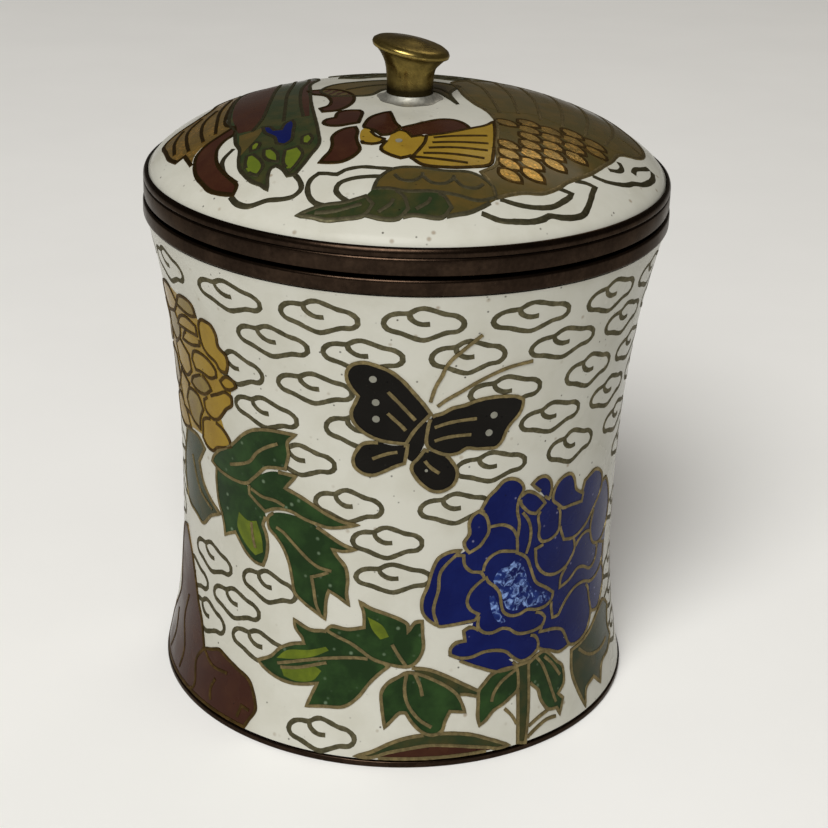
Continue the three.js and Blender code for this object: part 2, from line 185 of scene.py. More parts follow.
class JarColours(bpy.types.PropertyGroup):
    """Colours of the enamels and metals."""

    white: colour_setting("White enamel", "#BDBCB2")
    cobalt: colour_setting("Cobalt enamel", "#071046")
    sky: colour_setting("Sky grains", "#7E9AD0")
    yellow: colour_setting("Yellow enamel", "#8A7024")
    ochre: colour_setting("Ochre enamel", "#77652F")
    gold: colour_setting("Goldstone", "#7E652C")
    green: colour_setting("Leaf green enamel", "#1A2C14")
    lime: colour_setting("Young leaf enamel", "#525F1C")
    olive: colour_setting("Olive enamel", "#453C1E")
    red: colour_setting("Iron red enamel", "#331A11")
    black: colour_setting("Black enamel", "#100E0B")
    turquoise: colour_setting("Counter-enamel", "#3E9AA0")
    wire: colour_setting("Wire brass", "#75694A")
    dark_wire: colour_setting("Oxidised wire", "#56523E")
    bronze: colour_setting("Aged brass", "#2B211A")
    brass: colour_setting("Knob brass", "#877643")


def sizes():
    """The scene's size settings."""
    return bpy.context.scene.jar_sizes


def length(key):
    """One of the length settings, in millimetres."""
    return getattr(sizes(), key) / MM


def colours():
    """The scene's colour settings."""
    return bpy.context.scene.jar_colours


# ---- The jar's surfaces ----


def wall_radius(z):
    """Outside radius of the wall at a height: two power curves that meet at the waist."""
    narrowest, waist = length("waist_radius"), length("waist_height")
    if z < waist:
        share = (waist - z) / waist
        return narrowest + (FOOT_RADIUS - narrowest) * share ** sizes().foot_flare
    share = (z - waist) / (WALL_TOP - waist)
    return narrowest + (MOUTH_RADIUS - narrowest) * share ** sizes().mouth_flare


def dome_height(r):
    """Height of the lid's enamel at a radius."""
    share = max(0.0, 1 - (r / DOME_RADIUS) ** sizes().dome_curve)
    return LID_RIM_TOP + length("dome_rise") * share ** sizes().dome_shoulder


def on_wall(u, v, lift):
    """The place on the wall of a point of the sheet, lifted off the enamel."""
    angle = u / SHEET_RADIUS
    z = v * WALL_TOP / SHEET_HEIGHT
    r = wall_radius(z) + lift
    return Vector((r * math.sin(angle), -r * math.cos(angle), z)) * MM


def on_dome(x, y, lift):
    """The place on the lid of a point of the plan, lifted off the enamel."""
    grow = DOME_RADIUS / PLAN_RADIUS
    r = math.hypot(x, y) * grow
    return Vector((x * grow, y * grow, dome_height(r) + lift)) * MM


# ---- Curves of the drawing ----


def bend_at(before, here, after):
    """The angle by which a line turns at a point."""
    return (here - before).angle(after - here, 0.0)


def spline_point(a, b, c, d, t):
    """A point of the centripetal curve through b and c, with a before and d after them."""
    ab = max((b - a).length, 1e-6) ** 0.5
    bc = max((c - b).length, 1e-6) ** 0.5
    cd = max((d - c).length, 1e-6) ** 0.5
    start = (b - a) * (bc / ab) - (c - a) * (bc / (ab + bc)) + (c - b)
    end = (c - b) - (d - b) * (bc / (bc + cd)) + (d - c) * (bc / cd)
    return (
        b * (2 * t**3 - 3 * t**2 + 1)
        + start * (t**3 - 2 * t**2 + t)
        + c * (3 * t**2 - 2 * t**3)
        + end * (t**3 - t**2)
    )


def smooth(points, closed):
    """A fine curve through the points, smooth but for the places where the outline has a corner."""
    corners = [Vector(p) for p in points]
    count = len(corners)
    spans = count if closed else count - 1

    def is_sharp(i):
        if not closed and i in (0, count - 1):
            return True
        return bend_at(corners[i - 1], corners[i], corners[(i + 1) % count]) > CORNER

    sharp = [is_sharp(i) for i in range(count)]
    curve = []
    for i in range(spans):
        j = (i + 1) % count
        b, c = corners[i], corners[j]
        a = 2 * b - c if sharp[i] else corners[i - 1]
        d = 2 * c - b if sharp[j] else corners[(j + 1) % count]
        steps = max(1, round((c - b).length / CURVE_STEP))
        curve += [spline_point(a, b, c, d, k / steps) for k in range(steps)]
    if not closed:
        curve.append(corners[-1])
    return curve


def inside(point, outline):
    """True if a point lies inside a closed outline."""
    x, y = point
    odd = False
    before = outline[-1]
    for here in outline:
        if (here.y > y) != (before.y > y):
            crossing = here.x + (y - here.y) * (before.x - here.x) / (before.y - here.y)
            if x < crossing:
                odd = not odd
        before = here
    return odd


# ---- Meshes ----


class Draft:
    """Vertices and faces of one piece while it is drawn, laid on the wall or the lid by `place`."""

    def __init__(self, place):
        self.place = place
        self.vertices = []
        self.faces = []
        self.slots = []

    def add(self, vertices, faces, slot=0):
        """Adds vertices, and faces that count them from 0, in one material slot."""
        first = len(self.vertices)
        self.vertices += vertices
        self.faces += [[first + i for i in face] for face in faces]
        self.slots += [slot] * len(faces)

    def fill(self, outline, lift, slot=0):
        """A cell of enamel inside a closed curve, with its edge turned down into the ground."""
        rim = len(outline)
        left, right = min(p.x for p in outline), max(p.x for p in outline)
        low, high = min(p.y for p in outline), max(p.y for p in outline)
        tree = KDTree(rim)
        for i, p in enumerate(outline):
            tree.insert((p.x, p.y, 0), i)
        tree.balance()
        grid = []
        for row in range(1, math.ceil((high - low) / FILL_STEP)):
            y = low + row * FILL_STEP
            for column in range(math.ceil((right - left) / FILL_STEP)):
                x = left + (column + 0.5 * (row % 2)) * FILL_STEP
                clear = tree.find((x, y, 0))[2] > 0.5 * FILL_STEP
                if clear and inside((x, y), outline):
                    grid.append(Vector((x, y)))
        ring = [(i, (i + 1) % rim) for i in range(rim)]
        flat, _, faces, _, _, _ = delaunay_2d_cdt(outline + grid, ring, [], 1, 1e-5)
        self.add([self.place(p.x, p.y, lift) for p in flat], faces, slot)
        upper = [self.place(p.x, p.y, lift) for p in outline]
        lower = [self.place(p.x, p.y, -BURIED) for p in outline]
        walls = [(i, i + rim, (i + 1) % rim + rim, (i + 1) % rim) for i in range(rim)]
        self.add(upper + lower, walls, slot)

    def wire(self, curve, width, lift, closed=False, slot=0):
        """A wire set on edge along a curve: a low rounded ridge with its foot in the ground."""
        count = len(curve)
        edge = lift - WIRE_BEVEL
        section = ((-0.5, -BURIED), (-0.44, edge), (0.0, lift), (0.44, edge), (0.5, -BURIED))
        rows = []
        for i, here in enumerate(curve):
            before = curve[i - 1] if closed or i else here
            after = curve[(i + 1) % count] if closed or i < count - 1 else here
            ahead = (after - here).normalized() if after != here else (here - before).normalized()
            behind = (here - before).normalized() if before != here else ahead
            along = (ahead + behind).normalized() if (ahead + behind).length > 0.2 else ahead
            mitre = min(1.5, 1 / max(0.4, along.dot(ahead)))
            hand = 1 + WIRE_WAVER * math.sin(1.7 * i) * math.sin(0.37 * i + here.x)
            across = Vector((along.y, -along.x)) * width * mitre * hand
            rows.append([self.place(*(here + across * s), z) for s, z in section])
        wide = len(section)
        vertices = [p for row in rows for p in row]
        faces = []
        for i in range(count if closed else count - 1):
            j = (i + 1) % count
            for k in range(wide - 1):
                faces.append((i * wide + k, i * wide + k + 1, j * wide + k + 1, j * wide + k)[::-1])
        if not closed:
            last = (count - 1) * wide
            faces.append(tuple(range(wide)))
            faces.append(tuple(last + k for k in reversed(range(wide))))
        self.add(vertices, faces, slot)

    def wires_once(self, curves, width, lift):
        """Wires along closed and open curves, each drawn only where no earlier wire runs."""
        drawn = []
        for curve, closed in curves:
            tree = KDTree(len(drawn))
            for i, p in enumerate(drawn):
                tree.insert((p.x, p.y, 0), i)
            tree.balance()
            fresh = [not drawn or tree.find((p.x, p.y, 0))[2] > SHARED for p in curve]
            if all(fresh):
                self.wire(curve, width, lift, closed)
            else:
                for stretch in stretches(curve, fresh, closed):
                    self.wire(stretch, width, lift)
            drawn += curve

    def piece(self, name, materials, body, slot, *nodes):
        """Makes the object, gives it its finish and lets it stand for CAD nodes."""
        mesh = bpy.data.meshes.new(name)
        mesh.from_pydata(self.vertices, [], self.faces)
        mesh.polygons.foreach_set("material_index", self.slots)
        return finished(name, mesh, materials, body, slot, *nodes)


def stretches(curve, wanted, closed):
    """The runs of wanted points of a curve, each with two points more at both ends."""
    count = len(curve)
    start = wanted.index(False) if closed and False in wanted else 0
    runs, run = [], []
    for k in range(count + 1):
        i = (start + k) % count
        if k < count and wanted[i]:
            if not run and (closed or i > 1):
                run += [curve[i - 2], curve[i - 1]]
            run.append(curve[i])
        elif run:
            if closed or k < count - 1:
                run += [curve[i], curve[(i + 1) % count]]
            runs.append(run)
            run = []
    return [r for r in runs if len(r) > 5]


def finished(name, mesh, materials, body, slot, *nodes):
    """An object of the mesh, smooth but for its creases, that rides on a body of the frame."""
    shape = bmesh.new()
    shape.from_mesh(mesh)
    bmesh.ops.remove_doubles(shape, verts=shape.verts, dist=1e-7)
    shape.to_mesh(mesh)
    shape.free()
    for material in materials:
        mesh.materials.append(material)
    mesh.shade_smooth()
    mesh.set_sharp_from_angle(angle=math.radians(42))
    piece = bpy.data.objects.new(name, mesh)
    bpy.context.scene.collection.objects.link(piece)
    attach(piece, body)
    if nodes:
        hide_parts(*nodes)
    return piece


def eased(profile, radius, steps=3):
    """A closed profile with its corners rounded to about the radius."""
    points = [Vector(p) for p in profile]
    count = len(points)
    result = []
    for i, here in enumerate(points):
        before, after = points[i - 1], points[(i + 1) % count]
        reach = min(radius, 0.45 * (here - before).length, 0.45 * (after - here).length)
        if bend_at(before, here, after) < math.radians(20) or here.x < 1e-6:
            result.append(here)
            continue
        a = here + (before - here).normalized() * reach
        b = here + (after - here).normalized() * reach
        for k in range(steps + 1):
            t = k / steps
            result.append(a * (1 - t) ** 2 + here * 2 * t * (1 - t) + b * t**2)
    return result


def turned(name, profile, materials, body, slot, *nodes, segments=192):
    """A body of revolution. The profile is a closed anticlockwise list of (radius, height) in mm."""
    shape = bmesh.new()
    rings = []
    for r, z in profile:
        if r < 1e-6:
            rings.append([shape.verts.new((0, 0, z * MM))] * segments)
            continue
        ring = []
        for k in range(segments):
            angle = 2 * math.pi * k / segments
            ring.append(shape.verts.new((r * MM * math.cos(angle), r * MM * math.sin(angle), z * MM)))
        rings.append(ring)
    for lower, upper in zip(rings, rings[1:] + rings[:1]):
        for k in range(segments):
            corners = [lower[k], lower[(k + 1) % segments], upper[(k + 1) % segments], upper[k]]
            corners = list(dict.fromkeys(corners))
            if len(corners) > 2:
                shape.faces.new(corners)
    mesh = bpy.data.meshes.new(name)
    shape.to_mesh(mesh)
    shape.free()
    return finished(name, mesh, materials, body, slot, *nodes)


def levels(low, high, step):
    """Evenly spaced values from low to high."""
    count = max(1, math.ceil((high - low) / step))
    return [low + (high - low) * i / count for i in range(count + 1)]


def wall_layer(inset, thickness, low, high):
    """Profile of a layer of the wall, `inset` in from the outside."""
    heights = levels(low, high, LAYER_STEP)
    outside = [(wall_radius(z) - inset, z) for z in heights]
    within = [(wall_radius(z) - inset - thickness, z) for z in reversed(heights)]
    return outside + within


def dome_layer(drop, thickness, hole, edge):
    """Profile of a layer of the dome, `drop` below the enamel's surface."""
    radii = levels(hole, edge, LAYER_STEP)
    above = [(r, dome_height(r) - drop) for r in reversed(radii)]
    below = [(r, dome_height(r) - drop - thickness) for r in radii]
    return above + below


# ---- Materials ----


def per(millimetres):
    """Texture scale for features of that size."""
    return 1 / (millimetres * MM)


def add(tree, kind, values=None, links=None, **settings):
    """Adds a node with its settings, input values and links."""
    made = tree.nodes.new(kind)
    for name, value in settings.items():
        setattr(made, name, value)
    for name, value in (values or {}).items():
        made.inputs[name].default_value = value
    for name, source in (links or {}).items():
        tree.links.new(source, made.inputs[name])
    return made


def new_material(name):
    """A material with its tree, a Principled shader and object coordinates."""
    material = bpy.data.materials.new(name)
    material.use_nodes = True
    tree = material.node_tree
    shader = tree.nodes["Principled BSDF"]
    place = add(tree, "ShaderNodeTexCoord").outputs["Object"]
    return material, tree, shader, place


def noise_of(tree, place, size, detail=3.0, roughness=0.55, distortion=0.0):
    """Noise with features of that size in millimetres."""
    values = {"Scale": per(size), "Detail": detail, "Roughness": roughness, "Distortion": distortion}
    return add(tree, "ShaderNodeTexNoise", values, {"Vector": place}).outputs["Fac"]


def ranged(tree, source, low, high, to_low, to_high):
    """The source, moved from one range of values to another and clamped."""
    values = {"From Min": low, "From Max": high, "To Min": to_low, "To Max": to_high}
    return add(tree, "ShaderNodeMapRange", values, {"Value": source}).outputs["Result"]


def mixed(tree, share, first, second, blend="MIX"):
    """Two colours, mixed by a share that is a number or a socket."""
    node = add(tree, "ShaderNodeMix", data_type="RGBA", blend_type=blend)
    for index, value in ((0, share), (6, first), (7, second)):
        if isinstance(value, bpy.types.NodeSocket):
            tree.links.new(value, node.inputs[index])
        else:
            node.inputs[index].default_value = value
    return node.outputs[2]


def fired_enamel(name, colour, cloud, cloud_size=3.5, cloud_share=0.6, gloss=0.14):
    """Glass enamel, wet-laid, fired and ground smooth: cloudy patches where the powder lay thick or
    thin, small dark pits where bubbles were cut open, and a polish that is worn in places."""
    material, tree, shader, place = new_material(name)
    patches = ranged(tree, noise_of(tree, place, cloud_size, 4.0, 0.6), 0.42, 0.68, 0.0, cloud_share)
    body = mixed(tree, patches, colour, cloud)
    cells = add(tree, "ShaderNodeTexVoronoi", {"Scale": per(1.5)}, {"Vector": place}).outputs["Distance"]
    rare = ranged(tree, noise_of(tree, place, 5.0), 0.5, 0.58, 0.0, 1.0)
    pit = ranged(tree, cells, 0.05, 0.11, 1.0, 0.0)
    pits = add(tree, "ShaderNodeMath", links={0: pit, 1: rare}, operation="MULTIPLY").outputs[0]
    dark = [0.25 * c for c in colour[:3]] + [1.0]
    tree.links.new(mixed(tree, pits, body, dark), shader.inputs["Base Color"])
    polish = ranged(tree, noise_of(tree, place, 6.0), 0.35, 0.7, gloss, gloss + 0.2)
    tree.links.new(polish, shader.inputs["Roughness"])
    waves = noise_of(tree, place, 2.6, 2.0)
    height = add(tree, "ShaderNodeMath", {1: -0.8}, {0: pits, 2: waves}, operation="MULTIPLY_ADD")
    relief = {"Strength": 0.35, "Distance": 0.05 * MM}
    bump = add(tree, "ShaderNodeBump", relief, {"Height": height.outputs[0]})
    tree.links.new(bump.outputs["Normal"], shader.inputs["Normal"])
    shader.inputs["IOR"].default_value = 1.5
    shader.inputs["Specular IOR Level"].default_value = ENAMEL_SPECULAR
    return material


def sprinkled(material, colour, share):
    """Lays a colour over the material's own where the share is high."""
    tree = material.node_tree
    base = tree.nodes["Principled BSDF"].inputs["Base Color"]
    tree.links.new(mixed(tree, share, base.links[0].from_socket, colour), base)
    return material


def object_place(material):
    """The object coordinates that the material already uses."""
    tree = material.node_tree
    return next(n for n in tree.nodes if n.bl_idname == "ShaderNodeTexCoord").outputs["Object"]


def spots_of(tree, place, spacing, radius, patch_size, share):
    """Round spots on a loose grid, found only in some patches."""
    near = add(tree, "ShaderNodeTexVoronoi", {"Scale": per(spacing)}, {"Vector": place}).outputs["Distance"]
    spot = ranged(tree, near, 0.4 * radius / spacing, radius / spacing, 1.0, 0.0)
    patch = ranged(tree, noise_of(tree, place, patch_size), 0.44, 0.54, 0.0, share)
    return add(tree, "ShaderNodeMath", links={0: spot, 1: patch}, operation="MULTIPLY").outputs[0]


def white_enamel():
    """Opaque white glass: a cream ground with faint clouds, dark pinholes and small rust stains."""
    c = colours()
    material = fired_enamel("ground_white_enamel_fired", list(c.white), linear("#AFADA0"), 7.0, 0.6)
    tree = material.node_tree
    place = object_place(material)
    sprinkled(material, linear("#6F5632"), spots_of(tree, place, 2.6, 0.34, 8.0, 0.55))
    return sprinkled(material, linear("#2B2418"), spots_of(tree, place, 1.9, 0.17, 4.0, 0.9))


def cobalt_enamel():
    """Cobalt blue glass: very deep, with faint brighter clouds and a pale speck here and there that is a
    painted highlight.
    """
    material = fired_enamel("cobalt_enamel_fired", list(colours().cobalt), linear("#0F1B55"), 4.0, 0.55)
    # The pale specks are painted highlights: small glints of lamp light laid into the colour.
    painted_glints = spots_of(material.node_tree, object_place(material), 1.7, 0.2, 5.0, 0.7)
    return sprinkled(material, linear("#7C7C9A"), painted_glints)


def sky_enamel():
    """Cobalt glass with pale blue grains laid into it: frosty curls in the deep blue."""
    c = colours()
    material = fired_enamel("cobalt_enamel_sky_grains", list(c.cobalt), linear("#1B2F6E"), 1.6, 0.9)
    tree = material.node_tree
    place = object_place(material)
    grains = ranged(tree, noise_of(tree, place, 0.85, 4.0, 0.62, 0.9), 0.5, 0.66, 0.0, 0.95)
    return sprinkled(material, list(c.sky), grains)


def yellow_enamel():
    """Egg yellow glass, slightly browner in patches."""
    return fired_enamel("yellow_enamel_fired", list(colours().yellow), linear("#7A5F1C"), 3.0, 0.7)


def amber_enamel():
    """Ochre glass between brown and gold."""
    return fired_enamel("amber_enamel_fired", list(colours().ochre), linear("#655023"), 2.5, 0.7)


def goldstone():
    """Brown glass full of copper flakes, ground smooth: it glitters gold where a lamp meets it."""
    material = fired_enamel("goldstone_enamel_polished", list(colours().gold), linear("#9A7A34"), 2.5, 0.8)
    tree = material.node_tree
    place = object_place(material)
    shader = tree.nodes["Principled BSDF"]
    sprinkled(material, linear("#B98B3C"), spots_of(tree, place, 0.5, 0.26, 3.0, 0.8))
    flakes = noise_of(tree, place, 0.5, 3.0, 0.6)
    bump = add(tree, "ShaderNodeBump", {"Strength": 0.8, "Distance": 0.06 * MM}, {"Height": flakes})
    tree.links.new(bump.outputs["Normal"], shader.inputs["Normal"])
    shader.inputs["Metallic"].default_value = 0.7
    return material


def leaf_green_enamel():
    """Leaf green glass: dark, lighter where it lies thin, with pale specks that are painted highlights, small
    glints of lamp light.
    """
    material = fired_enamel("leaf_green_enamel_fired", list(colours().green), linear("#2E4822"), 3.5, 0.6)
    # The pale green specks are painted highlights: small glints of lamp light laid into the colour.
    painted_glints = spots_of(material.node_tree, object_place(material), 1.5, 0.3, 4.0, 0.45)
    return sprinkled(material, linear("#7F9278"), painted_glints)


def deep_green_enamel():
    """Green glass gone nearly olive black."""
    return fired_enamel("deep_green_enamel_fired", linear("#26301B"), linear("#3F3A1F"), 3.0, 0.8)


def young_leaf_enamel():
    """Yellow-green glass of the young leaves and feather eyes."""
    return fired_enamel("young_leaf_enamel_fired", list(colours().lime), linear("#646E1E"), 2.0, 0.6)


def olive_enamel():
    """Olive glass, brown in patches."""
    return fired_enamel("olive_enamel_fired", list(colours().olive), linear("#54431F"), 2.5, 0.8)


def moss_enamel():
    """Moss green glass of the leaves' lit halves."""
    return fired_enamel("moss_green_enamel_fired", linear("#4C5819"), linear("#69751F"), 2.0, 0.6)


def iron_red_enamel():
    """Iron red glass: dark red-brown."""
    return fired_enamel("iron_red_enamel_fired", list(colours().red), linear("#3E2416"), 3.0, 0.7)


def black_enamel():
    """Black glass with a clear polish and a few pale specks that are painted highlights."""
    material = fired_enamel("black_enamel_fired", list(colours().black), linear("#171512"), 4.0, 0.5)
    # The pale specks are painted highlights: small glints of lamp light laid into the colour.
    painted_glints = spots_of(material.node_tree, object_place(material), 2.4, 0.2, 5.0, 0.6)
    return sprinkled(material, linear("#6E6A60"), painted_glints)


def grey_enamel():
    """Grey glass of the butterfly's dots."""
    return fired_enamel("grey_enamel_dots", linear("#77766C"), linear("#8F8E84"), 1.0, 0.5)


def worn_metal(name, colour, bright, dull=0.42, shine=0.22, wear_size=3.0, wear=0.6):
    """Metal with patches of tarnish and places rubbed bright."""
    material, tree, shader, place = new_material(name)
    patches = ranged(tree, noise_of(tree, place, wear_size, 5.0, 0.65), 0.45, 0.7, 0.0, wear)
    body = mixed(tree, patches, colour, bright)
    dust = ranged(tree, noise_of(tree, place, 0.5, 3.0), 0.3, 0.7, 0.75, 1.15)
    shaded = add(tree, "ShaderNodeVectorMath", links={0: body}, operation="SCALE")
    tree.links.new(dust, shaded.inputs["Scale"])
    tree.links.new(shaded.outputs[0], shader.inputs["Base Color"])
    roughness = ranged(tree, patches, 0.0, wear, dull, shine)
    tree.links.new(roughness, shader.inputs["Roughness"])
    scratches = noise_of(tree, place, 0.4, 3.0, 0.6)
    bump = add(tree, "ShaderNodeBump", {"Strength": 0.25, "Distance": 0.03 * MM}, {"Height": scratches})
    tree.links.new(bump.outputs["Normal"], shader.inputs["Normal"])
    shader.inputs["Metallic"].default_value = 1.0
    shader.inputs["Specular Tint"].default_value = TARNISHED_EDGE
    return material


def wire_brass():
    """Flat brass wire, ground level with the enamel: dull gold lines, brighter where rubbed."""
    return worn_metal("brass_wire_ground", list(colours().wire), linear("#8F7F58"), 0.5, 0.34, 2.0, 0.7)


def dark_wire():
    """Oxidised brass wire, never polished since: olive-grey lines."""
    colour = list(colours().dark_wire)
    return worn_metal("brass_wire_oxidised", colour, linear("#736C54"), 0.55, 0.42, 2.0, 0.6)


def bronze_wire():
    """Brass wire darkened to bronze: brown lines between the yellow petals."""
    return worn_metal("brass_wire_bronzed", linear("#4A3A20"), linear("#6E562C"), 0.5, 0.36, 2.0, 0.5)


def aged_brass():
    """Turned brass with a dark patina: nearly black brown, with rubbed bronze showing through."""
    colour = list(colours().bronze)
    return worn_metal("turned_brass_dark_patina", colour, linear("#43352A"), 0.3, 0.2, 5.0, 0.5)


def clean_brass():
    """Turned brass kept from wear inside the jar: plain warm gold."""
    return worn_metal("turned_brass_clean", linear("#B08D4A"), linear("#C7A45E"), 0.35, 0.22, 3.0, 0.6)


def knob_brass():
    """Turned and handled brass: olive gold rubbed bright in streaks, black where it meets the solder."""
    colour = list(colours().brass)
    material = worn_metal("turned_brass_handled", colour, linear("#A08A4C"), 0.34, 0.2, 2.2, 0.7)
    tree = material.node_tree
    height = add(tree, "ShaderNodeSeparateXYZ", links={"Vector": object_place(material)}).outputs["Z"]
    foot = dome_height(0) * MM
    soot = ranged(tree, height, foot + 1.4 * MM, foot + 2.4 * MM, 0.9, 0.0)
    return sprinkled(material, linear("#1C1812"), soot)


def soft_solder():
    """Tin solder run round the knob: dull grey, slightly lumpy."""
    return worn_metal("soft_solder_run", linear("#A9A8A0"), linear("#D6D5CC"), 0.62, 0.5, 1.2, 0.8)


def spun_copper():
    """Spun copper sheet, oxidised in firing: brown-red metal."""
    return worn_metal("spun_copper_fired", linear("#7A4028"), linear("#A85E3C"), 0.45, 0.3, 3.0, 0.6)


def counter_enamel():
    """Turquoise counter-enamel, sifted on and fired: a speckled, wavy glaze."""
    c = colours()
    material = fired_enamel("turquoise_counter_enamel_sifted", list(c.turquoise), linear("#2F7F8C"), 2.5, 0.8)
    tree = material.node_tree
    grains = ranged(tree, noise_of(tree, object_place(material), 0.75, 5.0, 0.7, 0.6), 0.5, 0.62, 0.0, 0.4)
    return sprinkled(material, linear("#73B8B4"), grains)


# ---- The drawing ----
# A motif is a list of cells, each an enamel and a closed outline, and a list of open wires. The
# outline of each cell is a wire too. A "base" lies under a whole flower, and a "patch" of another
# enamel lies on a cell, and neither has a wire. A "top" cell lies on other cells and patches.

CLOUD = (
    (-4.1, 0.35), (-4.2, -0.1), (-3.8, -0.75), (-2.3, -1.2), (-1.2, -1.65), (0.05, -1.95), (1.3, -1.5),
    (2.4, -1.05), (3.6, -0.9), (4.15, -0.35), (4.1, 0.3), (3.3, 0.95), (2.1, 1.2), (1.0, 1.6),
    (-0.1, 1.9), (-0.9, 1.7), (-1.6, 1.25), (-2.6, 1.2), (-3.5, 0.95),
)  # fmt: skip
CLOUD_HOOK = ((-1.6, 1.2), (-1.45, 0.7), (-0.9, 0.2), (-0.2, -0.05), (0.6, 0.0))

# Centres of the clouds on the front half of the wall, row by row. The back half mirrors them.
CLOUD_ROWS = (
    (56.7, (-41.5, -31.3, -19.6, -8.6, 2.1, 13.6, 24.9, 35.0)),
    (52.4, (-14.4, -4.1, 7.0, 18.5, 29.4, 39.6)),
    (47.5, (-20.0, -9.6, 11.8, 23.8, 34.0)),
    (42.9, (-16.2, -4.4, 18.5, 29.5, 39.6)),
    (38.0, (-11.6, 10.9, 22.6, 34.0)),
    (33.1, (-5.8, 6.8, 38.8)),
    (31.6, (-40.0,)),
    (28.8, (-1.1,)),
    (27.0, (-36.0,)),
    (24.2, (-0.3, 38.6)),
    (22.6, (-40.6,)),
    (20.2, (-26.8, -16.3)),
    (16.0, (-32.0, -21.8, 38.6)),
    (12.0, (-27.4, -17.4)),
    (11.4, (39.0,)),
    (6.4, (39.2,)),
    (3.2, (-8.2,)),
)

BUTTERFLY = {
    "cells": (
        ("black", ((3.3, 45.4), (2.5, 46.6), (1.4, 48), (0.2, 49.5), (-1.2, 50.7), (-2.6, 51.3), (-3.9, 51.6),
            (-5.2, 51.2), (-5.8, 50.3), (-5.8, 49.2), (-5.3, 48.2), (-4.6, 47.3), (-5, 46.3), (-5.4, 45.2),
            (-5.2, 44.1), (-4.3, 43), (-3.2, 42.3), (-1.5, 41.8), (0.7, 41.6), (1.6, 43.3))),
        ("black", ((3.5, 45), (3, 43), (3.1, 41.3), (4.5, 40.4), (5.6, 40.1), (6.8, 40.3), (7.6, 40.8),
            (8.8, 40.6), (10, 40.5), (11.2, 40.5), (11.9, 41.3), (12.2, 42.3), (12.7, 43.2), (13.6, 44.2),
            (14, 45.2), (14, 46.1), (13.2, 46.6), (11.8, 46.9), (10.2, 47), (8.5, 46.8), (7, 46.3),
            (5.6, 46), (4.6, 45.4))),
        ("black", ((0.9, 41.4), (-0.8, 41.3), (-2.4, 41.6), (-4.1, 41.3), (-4.8, 40.4), (-5.2, 39.4),
            (-5.1, 38.4), (-4.2, 37.6), (-3, 37.4), (-1.8, 37.9), (-0.4, 38.7), (0.6, 39.1), (0.8, 40.4))),
        ("black", ((2.8, 40.8), (2, 39.6), (1.6, 39.2), (1.4, 38.4), (2, 37.2), (2.9, 36.2), (4, 35.5),
            (5.2, 35.5), (6.3, 36.2), (6.7, 37.2), (6.6, 38.2), (6, 39.2), (5.3, 40), (4.2, 40.4))),
        ("black", ((2.5, 44.5), (1.6, 43.3), (1.1, 42), (0.8, 40.6), (1, 39.6), (1.5, 39.3), (2.2, 40.3),
            (2.8, 41.8), (3, 43), (3, 44.3))),
    ),
    "wires": (
        ((1.9, 44.3), (0.8, 45.6), (-0.4, 47), (-1.4, 48.1)),
        ((0.9, 42.9), (0.3, 43.7), (-0.6, 44.6), (-1.4, 45.4)),
        ((3.4, 43.5), (5, 44.1), (6.6, 44.4), (8.5, 44.5)),
        ((3.5, 41.8), (5, 42.3), (6.6, 42.5), (8, 42.5)),
        ((0.3, 40.6), (-1.2, 40.3), (-2.2, 39.9), (-3, 39.5)),
        ((2.6, 39.9), (3.2, 39), (3.9, 38.3), (4.6, 37.8)),
        ((3.1, 46.4), (3.4, 47.8), (3.7, 48.9), (4.3, 50.2), (4.6, 51.2), (5.3, 52.3), (6.2, 53.2),
            (7.2, 54.2), (8.2, 55.1)),
        ((4, 46.3), (4.8, 47), (6.4, 48), (8.2, 49.1), (10, 50), (11.8, 50.6), (13.2, 50.8), (14.5, 50.9)),
        ((2.7, 45.2), (3.3, 45.6), (3.4, 46.2)),
        ((3.9, 46.3), (3.3, 45.6), (3.0, 44.9)),
    ),
    "dots": ((-3, 49.6, 0.42), (-2.7, 46.7, 0.42), (-2.65, 44.6, 0.42), (10.5, 44.7, 0.42),
        (10.1, 42.5, 0.42), (3.1, 38.2, 0.18)),
}  # fmt: skip

